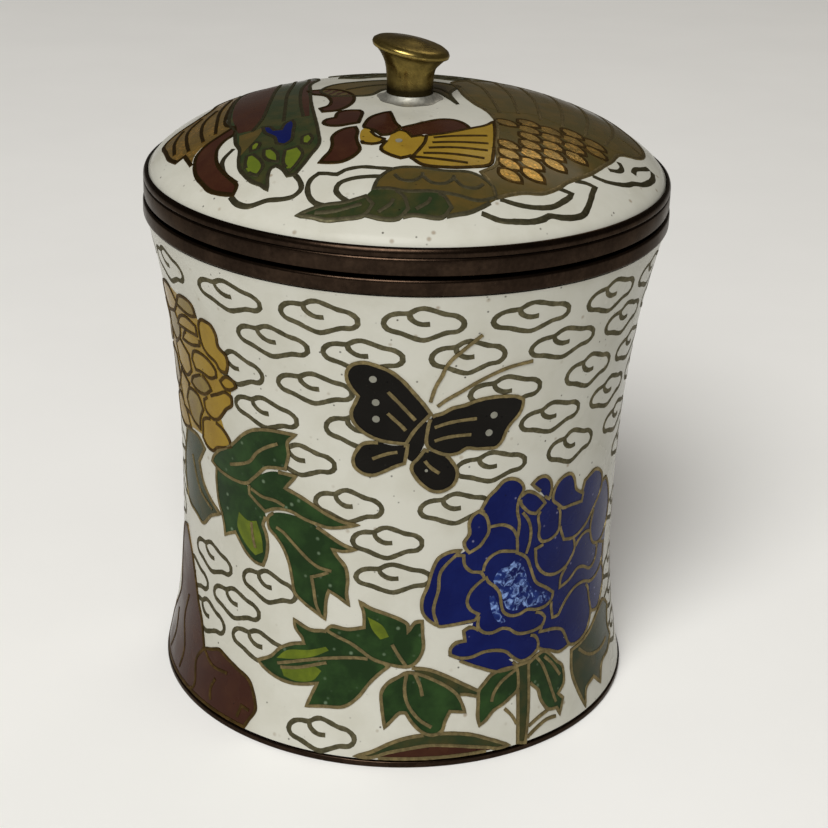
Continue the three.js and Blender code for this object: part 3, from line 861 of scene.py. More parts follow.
BLUE_PEONY = {
    "cells": (
        ("base cobalt", ((5, 20), (5, 18.6), (6.8, 17.8), (9.6, 17.8), (9.2, 16), (9.4, 14.2), (12, 12.6),
            (17, 12), (21, 13), (25.5, 11.4), (29.8, 12.4), (31, 13.4), (33.6, 15.5), (34.4, 21), (34, 27),
            (30.6, 30.2), (27.4, 31.6), (25.4, 30.4), (22.6, 32.6), (19.6, 31.8), (17.8, 32.9), (15.6, 32.2),
            (14, 34.4), (11.4, 33), (9.6, 30), (8.4, 27.6), (7.8, 27.2), (6.4, 26), (5.4, 24))),
        ("cobalt", ((3.3, 19.8), (4, 18.8), (5.2, 17.9), (4.6, 20), (5.1, 22.6), (5.3, 25), (7.6, 27.6),
            (6.3, 27.5), (5, 26.8), (4.3, 25.3), (3.8, 23.2), (3.2, 21.4))),
        ("cobalt", ((5.4, 26.3), (4.9, 25.2), (5, 23.6), (4.9, 21.7), (3.9, 20.1), (4, 18.8), (5.2, 17.9),
            (6.8, 17.9), (8.8, 18.1), (9.8, 18.2), (10.2, 18.9), (9.2, 19.6), (8.7, 20.6), (9, 21.9),
            (9.9, 22.9), (10.8, 23.5), (10.3, 24.4), (9.2, 24.6), (8.2, 25.6), (8, 26.9), (6.8, 27))),
        ("cobalt", ((9.6, 32.4), (8.9, 32), (8.5, 31), (8.6, 29.6), (8, 28.6), (8.2, 27.8), (8.7, 27.2),
            (10, 27.9), (10.5, 28.6), (11, 29.5), (10.9, 30.8), (10.4, 31.9))),
        ("cobalt", ((9.9, 32.6), (10.9, 31.4), (11.1, 30.2), (12.7, 30.2), (13.8, 29.7), (14.5, 29),
            (15, 27.9), (15.1, 30), (14.7, 31.6), (14.8, 33.1), (15.4, 34.3), (14.8, 35.4), (13.6, 36),
            (12.6, 35.9), (11.6, 34.9), (10.8, 34.2))),
        ("cobalt", ((8.2, 26.9), (8.1, 26.4), (8.4, 25.4), (9.4, 24.5), (10.6, 24.5), (10.7, 25.2),
            (11.4, 26.2), (12.6, 26.7), (13.9, 26.5), (15.1, 26.2), (14.9, 28), (14.3, 29.2), (13.2, 30.1),
            (12, 30.2), (11, 29.4), (10.2, 28))),
        ("cobalt", ((10.7, 25), (11.3, 23), (12.1, 22.3), (12.9, 21.2), (13.2, 19.6), (13.6, 18.5),
            (14.6, 17.8), (15.9, 17.7), (17, 18), (18.4, 17.6), (20, 17.6), (21, 18.2), (21.2, 19),
            (20, 20), (18.3, 21.2), (17.8, 22), (17.2, 23.5), (16.5, 25), (15.3, 25.9), (14, 26.4),
            (12.5, 26.7), (11.2, 26.1))),
        ("cobalt", ((9, 21.6), (9.2, 19.8), (10.2, 19), (10.2, 17.2), (10.9, 16.4), (12.1, 16.1),
            (13.4, 16.4), (14.4, 16.1), (15.6, 15.2), (18.3, 14.9), (19.6, 15.3), (19.9, 16.1), (19.2, 16.9),
            (17.9, 17.3), (16.6, 17.5), (15, 17.4), (14.2, 17.7), (13.4, 18.4), (13.1, 19.7), (12.8, 21.2),
            (12.1, 22.2), (11, 22.9), (9.9, 22.8))),
        ("cobalt", ((8.4, 16.9), (8.6, 15.6), (7.5, 15.5), (6.8, 14.8), (6.8, 14), (7.9, 13.5), (9.4, 13.4),
            (11, 13.8), (12.6, 13.7), (14, 13.2), (15, 12.2), (16.2, 11.4), (17.7, 11.6), (18.7, 12.3),
            (18.8, 13.2), (18.3, 14.1), (17.2, 14.5), (15.8, 14.9), (14.6, 15.9), (13.5, 16.2),
            (12.2, 15.9), (10.9, 16.2), (10, 17), (9.1, 17.3))),
        ("cobalt", ((6.5, 14), (8.4, 12.9), (10.4, 11.9), (12.8, 10.9), (15.8, 10.9), (14.6, 11.9),
            (13.8, 12.8), (12.5, 13.5), (11, 13.7), (9.7, 13.3), (7.9, 13.5))),
        ("cobalt", ((15.1, 33.4), (15.1, 32.5), (15.7, 31.7), (16.6, 30.9), (17.5, 30.6), (18.8, 31.6),
            (18.2, 32.4), (17, 33.4), (15.9, 33.8))),
        ("cobalt", ((16.6, 34.6), (17.2, 34), (17.9, 33.4), (18.7, 32.5), (19.4, 32), (19.7, 33.2),
            (19.4, 34.4), (18.5, 35.2), (17.4, 35.2))),
        ("cobalt", ((20.2, 32.9), (20.1, 31.6), (20.9, 30.9), (22, 30), (23.5, 29.9), (25.8, 29.6),
            (26, 30.6), (24.3, 31.8), (23.8, 33.2), (23, 34.2), (21.9, 34.3), (20.8, 33.8))),
        ("cobalt", ((17.9, 30.2), (18.2, 28.6), (18.2, 27.4), (18.7, 26.6), (19.8, 26.4), (20.9, 26.7),
            (21.5, 27.2), (21.6, 28.5), (21.4, 30), (20.6, 30.6), (19.6, 31), (18.6, 31))),
        ("cobalt", ((22.1, 29.8), (21.8, 27.6), (22.6, 25.6), (24.6, 25.2), (27.2, 26), (29.2, 27.6),
            (31, 29.4), (30.8, 31.4), (28.6, 32.8), (26.2, 32.2), (25.6, 30.4), (23.8, 30.2))),
        ("cobalt", ((30.8, 30), (29.4, 27.6), (28.6, 25), (29.6, 22.6), (32, 21.8), (34.2, 23),
            (34.9, 25.6), (34, 28.4), (32.6, 30.2))),
        ("cobalt", ((17.8, 25.8), (18.2, 23.6), (19.6, 22), (21.6, 21.4), (23.8, 22), (25, 23.6),
            (24.6, 25.2), (22.6, 25.6), (21.6, 27), (19.8, 26.3))),
        ("cobalt", ((24.2, 22.2), (22.6, 20.6), (22.4, 19.2), (24.2, 19.6), (26, 20.5), (27.5, 20.1),
            (29.2, 19.2), (30.8, 19.8), (31.2, 21.4), (29.6, 22.6), (28.4, 24.6), (26.6, 24.8),
            (25.2, 23.8))),
        ("cobalt", ((21, 17.8), (21.2, 15.6), (22.3, 15.6), (22.8, 16.2), (24.1, 17.4), (25.6, 18.1),
            (27.7, 18), (29.4, 17.3), (31.4, 17.4), (33.4, 18.6), (33.8, 20.8), (32, 21.6), (30.6, 19.8),
            (29.2, 19.2), (27.5, 20.1), (26, 20.5), (24.2, 19.8), (22.4, 19.2))),
        ("cobalt", ((19.1, 14.4), (21.5, 14), (23, 13.3), (23.6, 12.3), (24.4, 10.8), (26.4, 10.4),
            (28.6, 11.2), (29.6, 13), (29.2, 15), (28.6, 17), (26.6, 17.8), (24.4, 17.2), (22.8, 15.9),
            (21, 15.2), (19.8, 16))),
        ("cobalt", ((29.4, 17.2), (29.4, 15), (29.8, 13), (31.6, 12.6), (33.4, 14), (34.2, 16.2),
            (33.4, 18.2), (31.4, 17.4))),
        ("cobalt", ((19, 14.1), (20.4, 13.8), (22, 13.3), (23.4, 12), (24.2, 10.8), (22.4, 10.6),
            (20.7, 11.4), (18.9, 12.3), (18.6, 13.2))),
        ("patch sky", ((12, 23), (12.8, 24.3), (14, 24.5), (14.8, 25.1), (16, 24.1), (17.3, 21.1),
            (18.4, 20.1), (20.6, 19.2), (20.7, 18.2), (18.5, 18.2), (16.4, 18.3), (14.3, 18.6),
            (13.5, 19.9), (13.1, 21.3), (12.2, 22.4))),
        ("patch sky", ((11.5, 21), (12.2, 21), (12.8, 19.6), (13.1, 18.4), (14, 17.2), (13.2, 17), (12.3, 18),
            (11.8, 19.5))),
    ),
    "wires": (
        ((14.9, 32.5), (15.2, 31.2), (15.2, 29.5), (15.4, 27.5), (16, 26)),
        ((15.5, 31.2), (16.4, 30), (16.9, 28.5), (16.8, 26.8), (16.4, 25.6)),
        ((5, 26.8), (6.3, 27.5), (7.6, 27.6)),
    ),
}  # fmt: skip

YELLOW_PEONY = {
    "cells": (
        ("base yellow", ((-25.2, 51.4), (-23, 51.4), (-22.8, 49), (-21.6, 47.6), (-23.4, 46.4), (-21, 45.2),
            (-21.6, 42.6), (-23.6, 39.8), (-22.4, 37), (-25.6, 35.2), (-28, 36), (-33, 35.8), (-38, 37),
            (-42, 40), (-43.4, 45), (-41, 50), (-36, 53), (-30, 53.2), (-27, 52.2))),
        ("yellow", ((-25.8, 51), (-25.9, 49.6), (-25.6, 48.4), (-24.6, 47.6), (-23.4, 47.2), (-22.6, 46.3),
            (-21.6, 46.4), (-21.2, 47.4), (-21.3, 48.6), (-22.5, 49.4), (-22.6, 50.8), (-23.2, 51.8),
            (-24, 52), (-25.2, 51.9))),
        ("yellow", ((-28.9, 45.6), (-28.2, 44.5), (-26.8, 44.7), (-24.8, 44.6), (-23.6, 45.2), (-23.6, 46),
            (-24.6, 46.8), (-26.4, 47.2), (-28.2, 46.8))),
        ("yellow", ((-22.9, 44.9), (-22.2, 44.2), (-21, 44.4), (-20.2, 45), (-20.6, 45.6), (-21.8, 45.8))),
        ("amber", ((-29.5, 43), (-30, 42.2), (-28.6, 41.7), (-26.6, 41.9), (-25, 43), (-25.4, 43.6),
            (-26.8, 44.2), (-28.4, 43.6))),
        ("yellow", ((-26.9, 41.1), (-26.8, 40), (-25.6, 39.3), (-24.4, 39.4), (-23.4, 40.2), (-22.4, 41.4),
            (-21.2, 42.4), (-21.2, 43.4), (-22.2, 43.7), (-23.6, 43), (-25.2, 42.2))),
        ("yellow", ((-27.6, 38.2), (-27.8, 37), (-28, 35.8), (-27, 35), (-25.6, 34.9), (-24.8, 35.6),
            (-23.4, 36.1), (-21.9, 36.8), (-22.2, 37.6), (-23.4, 38.6), (-24.6, 38.9), (-26.2, 38.9))),
        ("amber", ((-31, 41), (-32.4, 39.2), (-31, 37.2), (-28.6, 36.6), (-28.4, 38), (-27.4, 39.6),
            (-28.4, 41))),
        ("amber", ((-30, 53.2), (-31, 51.8), (-27.4, 51.6), (-26.2, 52), (-26.6, 53.2), (-28, 53.6))),
        ("yellow", ((-31, 50.2), (-32, 49), (-29, 49.2), (-26.6, 49.4), (-26.6, 50.6), (-29, 51))),
        ("yellow", ((-30, 48.6), (-31, 47.4), (-28.4, 47.6), (-26.4, 48.2), (-26.2, 48.9))),
        ("yellow", ((-32.4, 47), (-34.6, 45.6), (-34, 43.4), (-31.4, 42.6), (-29.6, 43.8), (-29.8, 45.8))),
        ("amber", ((-32.6, 50.4), (-35.6, 49.6), (-36.2, 47.4), (-34.4, 46.2), (-32, 47.4), (-31.4, 49))),
        ("yellow", ((-33, 53.4), (-36.4, 52.8), (-37.4, 50.8), (-35.4, 49.8), (-32.4, 50.6), (-31, 52))),
        ("yellow", ((-33.6, 42.6), (-35.2, 40.2), (-34, 37.6), (-31.6, 37.4), (-32.2, 39.6), (-31, 41.6))),
        ("yellow", ((-38, 50), (-40.6, 48.6), (-41.2, 46), (-39, 44.4), (-36.4, 45.6), (-36.2, 48))),
        ("amber", ((-38.4, 44), (-40.8, 42.2), (-39.6, 39.6), (-36.6, 39), (-35, 41), (-35.4, 43.6))),
        ("yellow", ((-36, 38.6), (-38.4, 37.4), (-37.4, 35.4), (-34.4, 34.8), (-31.8, 35.6), (-33, 37.2))),
    ),
    "wires": (),
}  # fmt: skip

UPPER_LEAVES = {
    "cells": (
        ("deep_green", ((-33.6, 34.9), (-29.5, 35.3), (-27.8, 34.3), (-29.6, 31.9), (-28.7, 29.7),
            (-26.9, 28.1), (-24.7, 26.9), (-26.8, 25.8), (-29, 23.9), (-31, 24.4), (-33.3, 24.7),
            (-34.9, 25.7), (-35.6, 29.3))),
        ("green", ((-26, 33.4), (-24.6, 32.9), (-21.4, 32.6), (-19.4, 32.9), (-18.6, 33.6),
            (-17.4, 34.8), (-16.4, 35.8), (-15, 36.2), (-13.6, 36.4), (-13.1, 38.4), (-13.2, 39.9),
            (-12.1, 41.1), (-15.4, 40.9), (-16.8, 40.6), (-18.2, 40.1), (-19.8, 39), (-21.2, 37.6),
            (-22.4, 36.6), (-24.4, 35.4), (-25.6, 34.2))),
        ("green", ((-19, 32.8), (-19, 31.6), (-16.6, 30.1), (-15, 30.9), (-13, 31.1), (-11.4, 30.6),
            (-9.6, 30.2), (-8, 30), (-4.6, 30.8), (-6.4, 31), (-8.6, 31.8), (-10.2, 32.6), (-12, 33.4),
            (-13.7, 33.9), (-12.9, 34.9), (-12.2, 35.8), (-15.4, 35.6), (-17, 34.8), (-18.2, 33.9))),
        ("green", ((-16.2, 29.4), (-16, 28), (-15.2, 27.4), (-14, 26), (-13.2, 24.2), (-12.8, 22.4),
            (-12.4, 20.6), (-11.2, 19.6), (-9.6, 18.7), (-8.4, 18), (-8.3, 20.6), (-8, 21.8), (-6.8, 21.2),
            (-5.5, 20.3), (-5.8, 21.6), (-5.7, 23.6), (-6, 25.2), (-7, 26.4), (-7.6, 27.3), (-6.4, 27.2),
            (-4.8, 27.6), (-6.2, 28), (-7.4, 28.6), (-9.6, 29.8), (-11.6, 30.5), (-13.8, 30.6),
            (-15.4, 30.2))),
        ("green", ((-25.2, 31.5), (-24.8, 28.4), (-24.2, 27.2), (-23.8, 26), (-23.6, 24.6), (-22.6, 25.2),
            (-21.6, 25.7), (-20.8, 24.8), (-19.6, 23.6), (-18.2, 22.9), (-17, 22.9), (-16.5, 24.2),
            (-16.3, 26), (-16.6, 27.4), (-17, 28.2), (-16.6, 29.4), (-17.6, 31), (-18.6, 31.9),
            (-19.6, 32.6), (-22.2, 32.6), (-25, 33.2))),
        ("patch moss", ((-20.9, 28.6), (-21.2, 26.6), (-19.8, 24.8), (-18.2, 23.8), (-17, 24.6),
            (-17.2, 26.4), (-18, 28.4), (-19.4, 28))),
    ),
    "wires": (
        ((-22.2, 34.4), (-20.6, 35), (-18.8, 35.9), (-17.6, 37.4), (-16, 38.6), (-14.5, 39.4)),
        ((-22.6, 32.4), (-19.2, 32.5), (-17, 31.9), (-15, 31.9), (-13, 31.2), (-11, 30.5), (-9, 30),
            (-6.8, 30.2), (-5, 30.6)),
        ((-15, 28.5), (-14, 28.1), (-12.4, 26.8), (-10.4, 25.2), (-9.2, 24.6), (-7.7, 24.4)),
        ((-7.7, 24.4), (-9.2, 23.6), (-10.2, 23.2), (-9.9, 21.6), (-9.6, 19.8), (-9, 18.4)),
        ((-19.2, 32.5), (-18, 30.6), (-16.4, 29.6), (-15, 28.5)),
        ((-18.8, 28), (-18.6, 26.2), (-18.2, 24.8)),
        ((-26.4, 26.8), (-29.8, 28.4), (-31.8, 32)),
    ),
}  # fmt: skip

LOWER_LEAVES = {
    "cells": (
        ("green", ((1.9, 12.8), (2.9, 13.6), (3.5, 15), (3.4, 17), (3.3, 18.6), (2.5, 18.5), (1.6, 17.2),
            (1.6, 18.2), (0.6, 18.9), (-1.2, 19.6), (-3, 20.2), (-4.2, 20.9), (-3.7, 19.6), (-3.6, 17.6),
            (-5.6, 17.1), (-7.6, 17.2), (-8.2, 16.6), (-6.8, 16), (-5.2, 15.4), (-3.9, 14.6), (-2.6, 13.7),
            (-1.2, 13.2))),
        ("green", ((-1, 13.1), (-2.6, 13.7), (-5.2, 15.3), (-8.2, 16.4), (-10.2, 16.2), (-12.4, 17),
            (-12.2, 16), (-11.2, 14.9), (-11, 14.3), (-12.6, 13.8), (-14.2, 12.8), (-15.4, 11.4),
            (-17.2, 10.3), (-16.6, 9.8), (-14.6, 9), (-12.2, 8.8), (-10.2, 9.2), (-9, 9.6), (-9.5, 8.4),
            (-10.2, 6.4), (-8.2, 6.8), (-5.6, 7.2), (-4, 8.6), (-2.8, 10.4), (-1.6, 11.8), (-0.6, 12.7))),
        ("patch moss", ((-14.6, 11.4), (-13.2, 12.8), (-10.2, 13.6), (-8.2, 14.4), (-7.8, 14), (-9.6, 12.9),
            (-12, 12))),
        ("patch moss", ((-13.8, 10.2), (-13.4, 9.4), (-11.8, 9.2), (-9.6, 9.8), (-8.6, 11.2), (-9.4, 11.6),
            (-11.4, 11))),
        ("patch moss", ((-3.2, 19), (-2.6, 17.4), (-1.6, 16.2), (-0.6, 16.6), (-1.4, 18))),
        ("green", ((1.7, 12), (0.6, 11.4), (-0.6, 10.6), (-1.3, 9.4), (-1.2, 7.6), (-0.8, 5), (-0.1, 5.8),
            (0.9, 6.9), (1.6, 6.9), (2.4, 5.6), (3.6, 4.4), (4.8, 4), (5.8, 4.4), (6.2, 5.6), (6.8, 6.8),
            (8.6, 6.5), (8.2, 7.8), (7.6, 8.9), (6.4, 10), (4.6, 11.1), (3, 11.8))),
        ("green", ((12, 10.6), (11.2, 9.8), (10.4, 8.9), (10.3, 7.4), (10.2, 5.4), (10.4, 4.5), (11.2, 5),
            (12.2, 6), (13.6, 6.6), (14.6, 7.2), (15.5, 7.8), (15.7, 9.6), (15.5, 10.9), (13.5, 11))),
        ("deep_green", ((15.7, 11), (15.6, 7), (15.4, 3.4), (15.2, 1.2), (16.2, 0.9), (16.6, 2.6),
            (17.1, 6), (17.3, 11))),
        ("green", ((17.4, 10.8), (17.5, 8.2), (18.6, 6.9), (18.9, 5.6), (20, 3.9), (21.4, 3.6), (21.8, 2.6),
            (22.6, 4.4), (21.8, 5.3), (22.9, 6.2), (22.8, 8.7), (22, 9.4), (21, 10.6), (19.8, 11.6),
            (18.6, 11.4))),
        ("deep_green", ((24.8, 9.8), (24.6, 7), (25.4, 4.4), (26.7, 1.5), (27.4, 3.6), (29.4, 4.2),
            (31, 2.6), (32.2, 4.8), (34.6, 5.2), (36.6, 6.4), (35.6, 8.4), (36.2, 11), (34, 12.6),
            (31.6, 11.8), (29.2, 10.6), (27, 10))),
        ("deep_green", ((-4, 1.2), (-2.3, 1.2), (-0.4, 1.9), (1.8, 2.4), (4.4, 2.75), (7, 2.5), (9, 2.1),
            (11.2, 1.6), (12.4, 1.2), (14, 1.2), (12.6, 2), (11.2, 2.7), (9.4, 3.5), (7, 4), (4.6, 4.1),
            (2, 3.8), (0, 3.1), (-2.2, 1.9))),
        ("red", ((-2.3, 1.2), (12.4, 1.2), (11.2, 1.6), (9, 2.1), (7, 2.5), (4.4, 2.75), (1.8, 2.4),
            (-0.4, 1.9))),
        ("deep_green", ((2.2, 12.6), (4.2, 12.3), (6.2, 11.4), (8.2, 10.2), (10.3, 8.9), (10.2, 8.2),
            (8.8, 8.7), (7.6, 8.9), (6.4, 10), (4.6, 11.1), (3, 11.8))),
    ),
    "wires": (
        ((-4.6, 15.2), (-3.2, 14.2), (-2.2, 13.4), (0, 12.8), (1.9, 12.5)),
        ((-0.2, 15.6), (0.6, 14.2), (1.5, 12.9), (1.9, 12.4)),
        ((-1.2, 13.3), (-4, 13.6), (-7.5, 13.1), (-10.6, 12.2), (-14.4, 10.8)),
        ((-4.5, 13.2), (-8, 12.4), (-11.6, 11), (-14.4, 10.3)),
        ((-1.2, 13.3), (0.4, 12.7), (1.9, 12.3)),
        ((2.3, 12.4), (3.2, 10.4), (3.5, 9)),
        ((1.7, 12.3), (1.4, 10), (1.8, 8), (3.2, 6), (4.6, 5)),
        ((2.2, 12.8), (3.3, 14.6), (3.6, 17), (3.4, 18.8), (3.9, 19.8)),
        ((15.5, 10.6), (13.3, 9.4), (12.3, 8.2), (12, 7.2)),
        ((13.4, 6.2), (14.6, 4.8), (15.2, 3.6)),
        ((18.4, 11.4), (19.4, 10), (20.2, 8), (20.8, 6), (21.3, 4.4)),
        ((19.5, 11.2), (21, 9.6), (22.3, 7.6)),
        ((16.2, 1.2), (17.6, 2), (19.6, 2.7), (21.6, 2.5)),
        ((16.5, 2.6), (18.4, 3.4), (20.2, 3.9)),
        ((26, 9.6), (28.6, 7.6), (31.6, 6.8), (34.4, 7)),
        ((28.6, 7.6), (28.4, 5.6)),
    ),
}  # fmt: skip

GARDEN_ROCK = {
    "cells": (
        ("red", ((-18.2, 1.2), (-17.6, 2.4), (-16.9, 3.8), (-17.3, 5.4), (-18.4, 7.2), (-20.4, 7.9),
            (-22.4, 8.5), (-24, 8.9), (-25.6, 8.2), (-27, 7.6), (-28.6, 5.4), (-28, 2.4), (-28.6, 1.2))),
        ("red", ((-28.8, 1.2), (-28.2, 2.4), (-28.8, 5.4), (-27.2, 7.8), (-27.8, 9.2), (-28.6, 11),
            (-29.8, 12.6), (-30.6, 14), (-33, 18), (-35.5, 20.6), (-38, 19.6), (-39, 15.4), (-37.6, 11),
            (-40, 7.4), (-42.6, 4.4), (-43.4, 1.2))),
    ),
    "wires": (
        ((-24.2, 1.6), (-24.6, 3.4), (-24, 5)),
        ((-19.6, 1.6), (-19, 3.6), (-17.4, 3.4)),
        ((-27, 7.6), (-25, 6.4), (-22, 6.6)),
        ((-33, 1.6), (-32.4, 5), (-34, 8.6), (-33.2, 12)),
        ((-38.6, 1.6), (-37, 4.8), (-37.4, 8)),
    ),
}  # fmt: skip

WALL_MOTIFS = (
    ("butterfly", BUTTERFLY, "black_enamel", wire_brass),
    ("yellow_peony", YELLOW_PEONY, "yellow_enamel", bronze_wire),
    ("upper_leaves", UPPER_LEAVES, "leaf_green_enamel", wire_brass),
    ("garden_rock", GARDEN_ROCK, "iron_red_enamel", bronze_wire),
    ("lower_leaves", LOWER_LEAVES, "leaf_green_enamel", wire_brass),
    ("blue_peony", BLUE_PEONY, "cobalt_enamel", wire_brass),
)

EYE_FEATHER = {
    "cells": (
        ("deep_green", ((-21, 5.5), (-21, -3.1), (-20.6, -6.1), (-19.9, -7.7), (-19.7, -10),
            (-19.4, -11.9), (-18.9, -13.3), (-18.8, -15.4), (-18.6, -17.2), (-17.8, -19), (-16.8, -20.5),
            (-15.9, -21.3), (-15.1, -22.3), (-15.2, -19.9), (-14.9, -18.9), (-14.4, -18.7),
            (-13.8, -19.3), (-13, -20.9), (-12.2, -20.9), (-11.4, -19.4), (-10.6, -17.5), (-9.9, -15.6),
            (-10.2, -11.9), (-10.7, -8.2), (-11.2, -4.5), (-11.6, -0.8), (-11.9, 4.1), (-12.1, 8.2),
            (-11.3, 11.8), (-12, 15.2), (-14.5, 19.5), (-18, 16), (-20.4, 11.1))),
        ("patch red", ((-20.7, 5.5), (-20.6, -3), (-20, -6.4), (-19.4, -9.1), (-17.6, -9.2), (-16.7, -6.2),
            (-16.3, -0.3), (-16.1, 6.7), (-15.9, 11.8), (-15.4, 17), (-17.8, 15), (-20, 10.7))),
        ("patch red", ((-12.8, 8), (-13, 3.6), (-12.5, -2.4), (-11.9, -7.2), (-11.4, -7.1), (-11.8, -0.8),
            (-12.2, 3.9), (-12.3, 8.1), (-11.7, 11.7), (-12.5, 11.6))),
        ("patch olive", ((-19, -12.3), (-18.6, -14.9), (-17, -11.5), (-16.4, -8.9), (-17.8, -9.7),
            (-19.2, -9.9))),
        ("top cobalt", ((-16.6, -9), (-16.2, -10.7), (-15, -12.5), (-14.6, -14.1), (-13.8, -14.6),
            (-13.1, -13.9), (-13, -11.2), (-13, -9.3), (-13.3, -8.1), (-14, -8.8), (-14.4, -10.6),
            (-15.2, -10.5), (-15.8, -9.2))),
        ("top lime", ((-17.9, -15.5), (-17.9, -17.4), (-17.2, -19), (-16.4, -19.6), (-15.9, -18.3),
            (-16.3, -16.9), (-17.2, -15.4))),
        ("top lime", ((-16, -15), (-15.9, -16.4), (-15.2, -17.5), (-14.3, -18), (-14.4, -16.5),
            (-15.2, -15))),
        ("top lime", ((-13.6, -16), (-13.6, -18.6), (-12.8, -20.2), (-12.1, -19), (-11.6, -17.2),
            (-12.2, -15.6))),
        ("top lime", ((-17.6, -13.4), (-17.5, -14.6), (-16.8, -14.4), (-16.6, -13.2), (-17.1, -12.7))),
        ("top lime", ((-11.8, -13.3), (-11.8, -14.9), (-11.1, -15.3), (-10.7, -14), (-11.1, -12.8))),
    ),
    "wires": (
        ((-16.2, 17), (-16.1, 10.9), (-16.3, 5.8), (-16.5, -0.4), (-16.9, -6.3), (-17.8, -9.7)),
        ((-12.6, 14.4), (-12.5, 10.2), (-13, 5.7), (-12.8, -1.2), (-12.1, -7.3)),
        ((-14.4, 17.4), (-14.3, 9.7), (-14.6, 2.8), (-14.4, -4.3), (-14.3, -8.6)),
    ),
}  # fmt: skip

RIBBON = {
    "cells": (
        ("red", ((-20, -6.6), (-21.6, -8.2), (-23.1, -9.6), (-23.9, -11.1), (-24, -13), (-23.6, -15.3),
            (-22.6, -17.5), (-21.6, -19.2), (-20, -20.6), (-18.9, -21.3), (-18.6, -20.2), (-19.2, -19.1),
            (-20.2, -17.4), (-21.1, -15.4), (-21.5, -13.5), (-21.5, -11.5), (-20.8, -9.9), (-19.9, -9))),
        ("gold", ((-21.2, 4.9), (-21.2, -5.2), (-20.2, -6.7), (-22, -8.4), (-23.5, -9.4), (-24.2, -10.7),
            (-24.4, -12.8), (-24.9, -11.4), (-25.5, -9.7), (-26.4, -10.1), (-27.4, -8.2), (-28.2, -5.2),
            (-28.8, -2.1), (-27.9, -0.2), (-25.5, 1.9), (-23.9, 4.9), (-23.4, 9.7), (-21.4, 13.4),
            (-20.8, 10))),
        ("red", ((-12.2, 3.9), (-11.5, 2), (-10, 0.9), (-9.2, -1.5), (-9.4, -3.8), (-10.3, -4.7),
            (-9.9, -6), (-8.3, -5.7), (-7, -3.8), (-6.5, -0.7), (-7.2, 2), (-9.2, 3.9))),
    ),
    "wires": (
        ((-21.8, 8.8), (-22.5, 1.4), (-22.4, -3.4), (-22.2, -7.2)),
        ((-22.9, 3.4), (-24.1, -0.9), (-24.1, -4.7), (-23.5, -8.2)),
        ((-24.7, 1.5), (-25.9, -2), (-25.7, -5.7), (-25.1, -9)),
        ((-26.7, -0.5), (-27.3, -3.7), (-26.9, -7.8)),
    ),
}  # fmt: skip

PHOENIX_NECK = {
    "cells": (
        ("yellow", ((2, -13.9), (4, -13), (6.9, -10.9), (8.7, -9.4), (9.7, -7.7), (9.7, -11.9), (9.4, -16.7),
            (9, -19), (7, -20), (4, -20.6), (1.6, -20.4), (0.4, -19.2), (1, -17.9), (1.8, -15.7))),
        ("red", ((-8.1, -6.5), (-8.4, -8.4), (-9.3, -8.8), (-9.7, -9.8), (-9.1, -10.7), (-7.9, -11),
            (-6.7, -10.6), (-5.7, -10.2), (-5.5, -8.5), (-5.4, -6.5), (-5.7, -5.9), (-7.1, -5.9))),
        ("red", ((-6, -11.6), (-7, -11.9), (-8, -12.9), (-8.5, -14.2), (-8.4, -15.9), (-8.6, -17.4),
            (-9.2, -18.6), (-9.6, -19.4), (-8.4, -19.7), (-7.2, -19.7), (-6, -18.8), (-5.3, -17.4),
            (-5.6, -15.9), (-5.8, -14.4), (-5.7, -12.9))),
        ("red", ((-4.9, -10.4), (-5, -11.7), (-4, -12.5), (-3, -14), (-2, -13.7), (-1, -11.8), (-1.5, -10.4),
            (-1.9, -8.1), (-2.2, -6.4), (-2.9, -6.8), (-4.3, -8.4))),
        ("yellow", ((-5.2, -12.4), (-5.4, -14.6), (-5, -15.9), (-4, -16.2), (-3, -15.8), (-2.7, -15),
            (-3.6, -14.3), (-4.2, -13), (-4.6, -11.7))),
        ("yellow", ((-3, -17.4), (-2, -18.6), (-0.8, -19.3), (0.4, -18.7), (0.9, -17.9), (1.2, -16.7),
            (1.9, -15.5), (2.1, -14.4), (1.4, -13.9), (0.4, -14.4), (-0.2, -13.1), (-1, -12.6), (-1.8, -13.4),
            (-2.2, -15), (-2.6, -16))),
        ("red", ((-0.9, -11.9), (0.2, -14.2), (1.6, -13.4), (3.4, -13.2), (6.9, -10.9), (6.3, -9.5),
            (5.1, -8.5), (3.6, -8.6), (2.2, -9.5), (0.6, -10.8))),
    ),
    "wires": (
        ((2.4, -14.5), (4.5, -13.7), (8.8, -12.5)),
        ((2.2, -15.7), (5, -15.1), (8.9, -14.5)),
        ((1.8, -17), (5, -16.4), (8.8, -16.2)),
        ((1.2, -18.2), (4.5, -17.9), (8.4, -18)),
        ((0.6, -19), (3.5, -19.2), (7, -19.4)),
        ((-2.8, -15.8), (-3.4, -16.5), (-3, -17.4)),
    ),
    "dots": ((-1.05, -15.5, 0.4),),
}  # fmt: skip

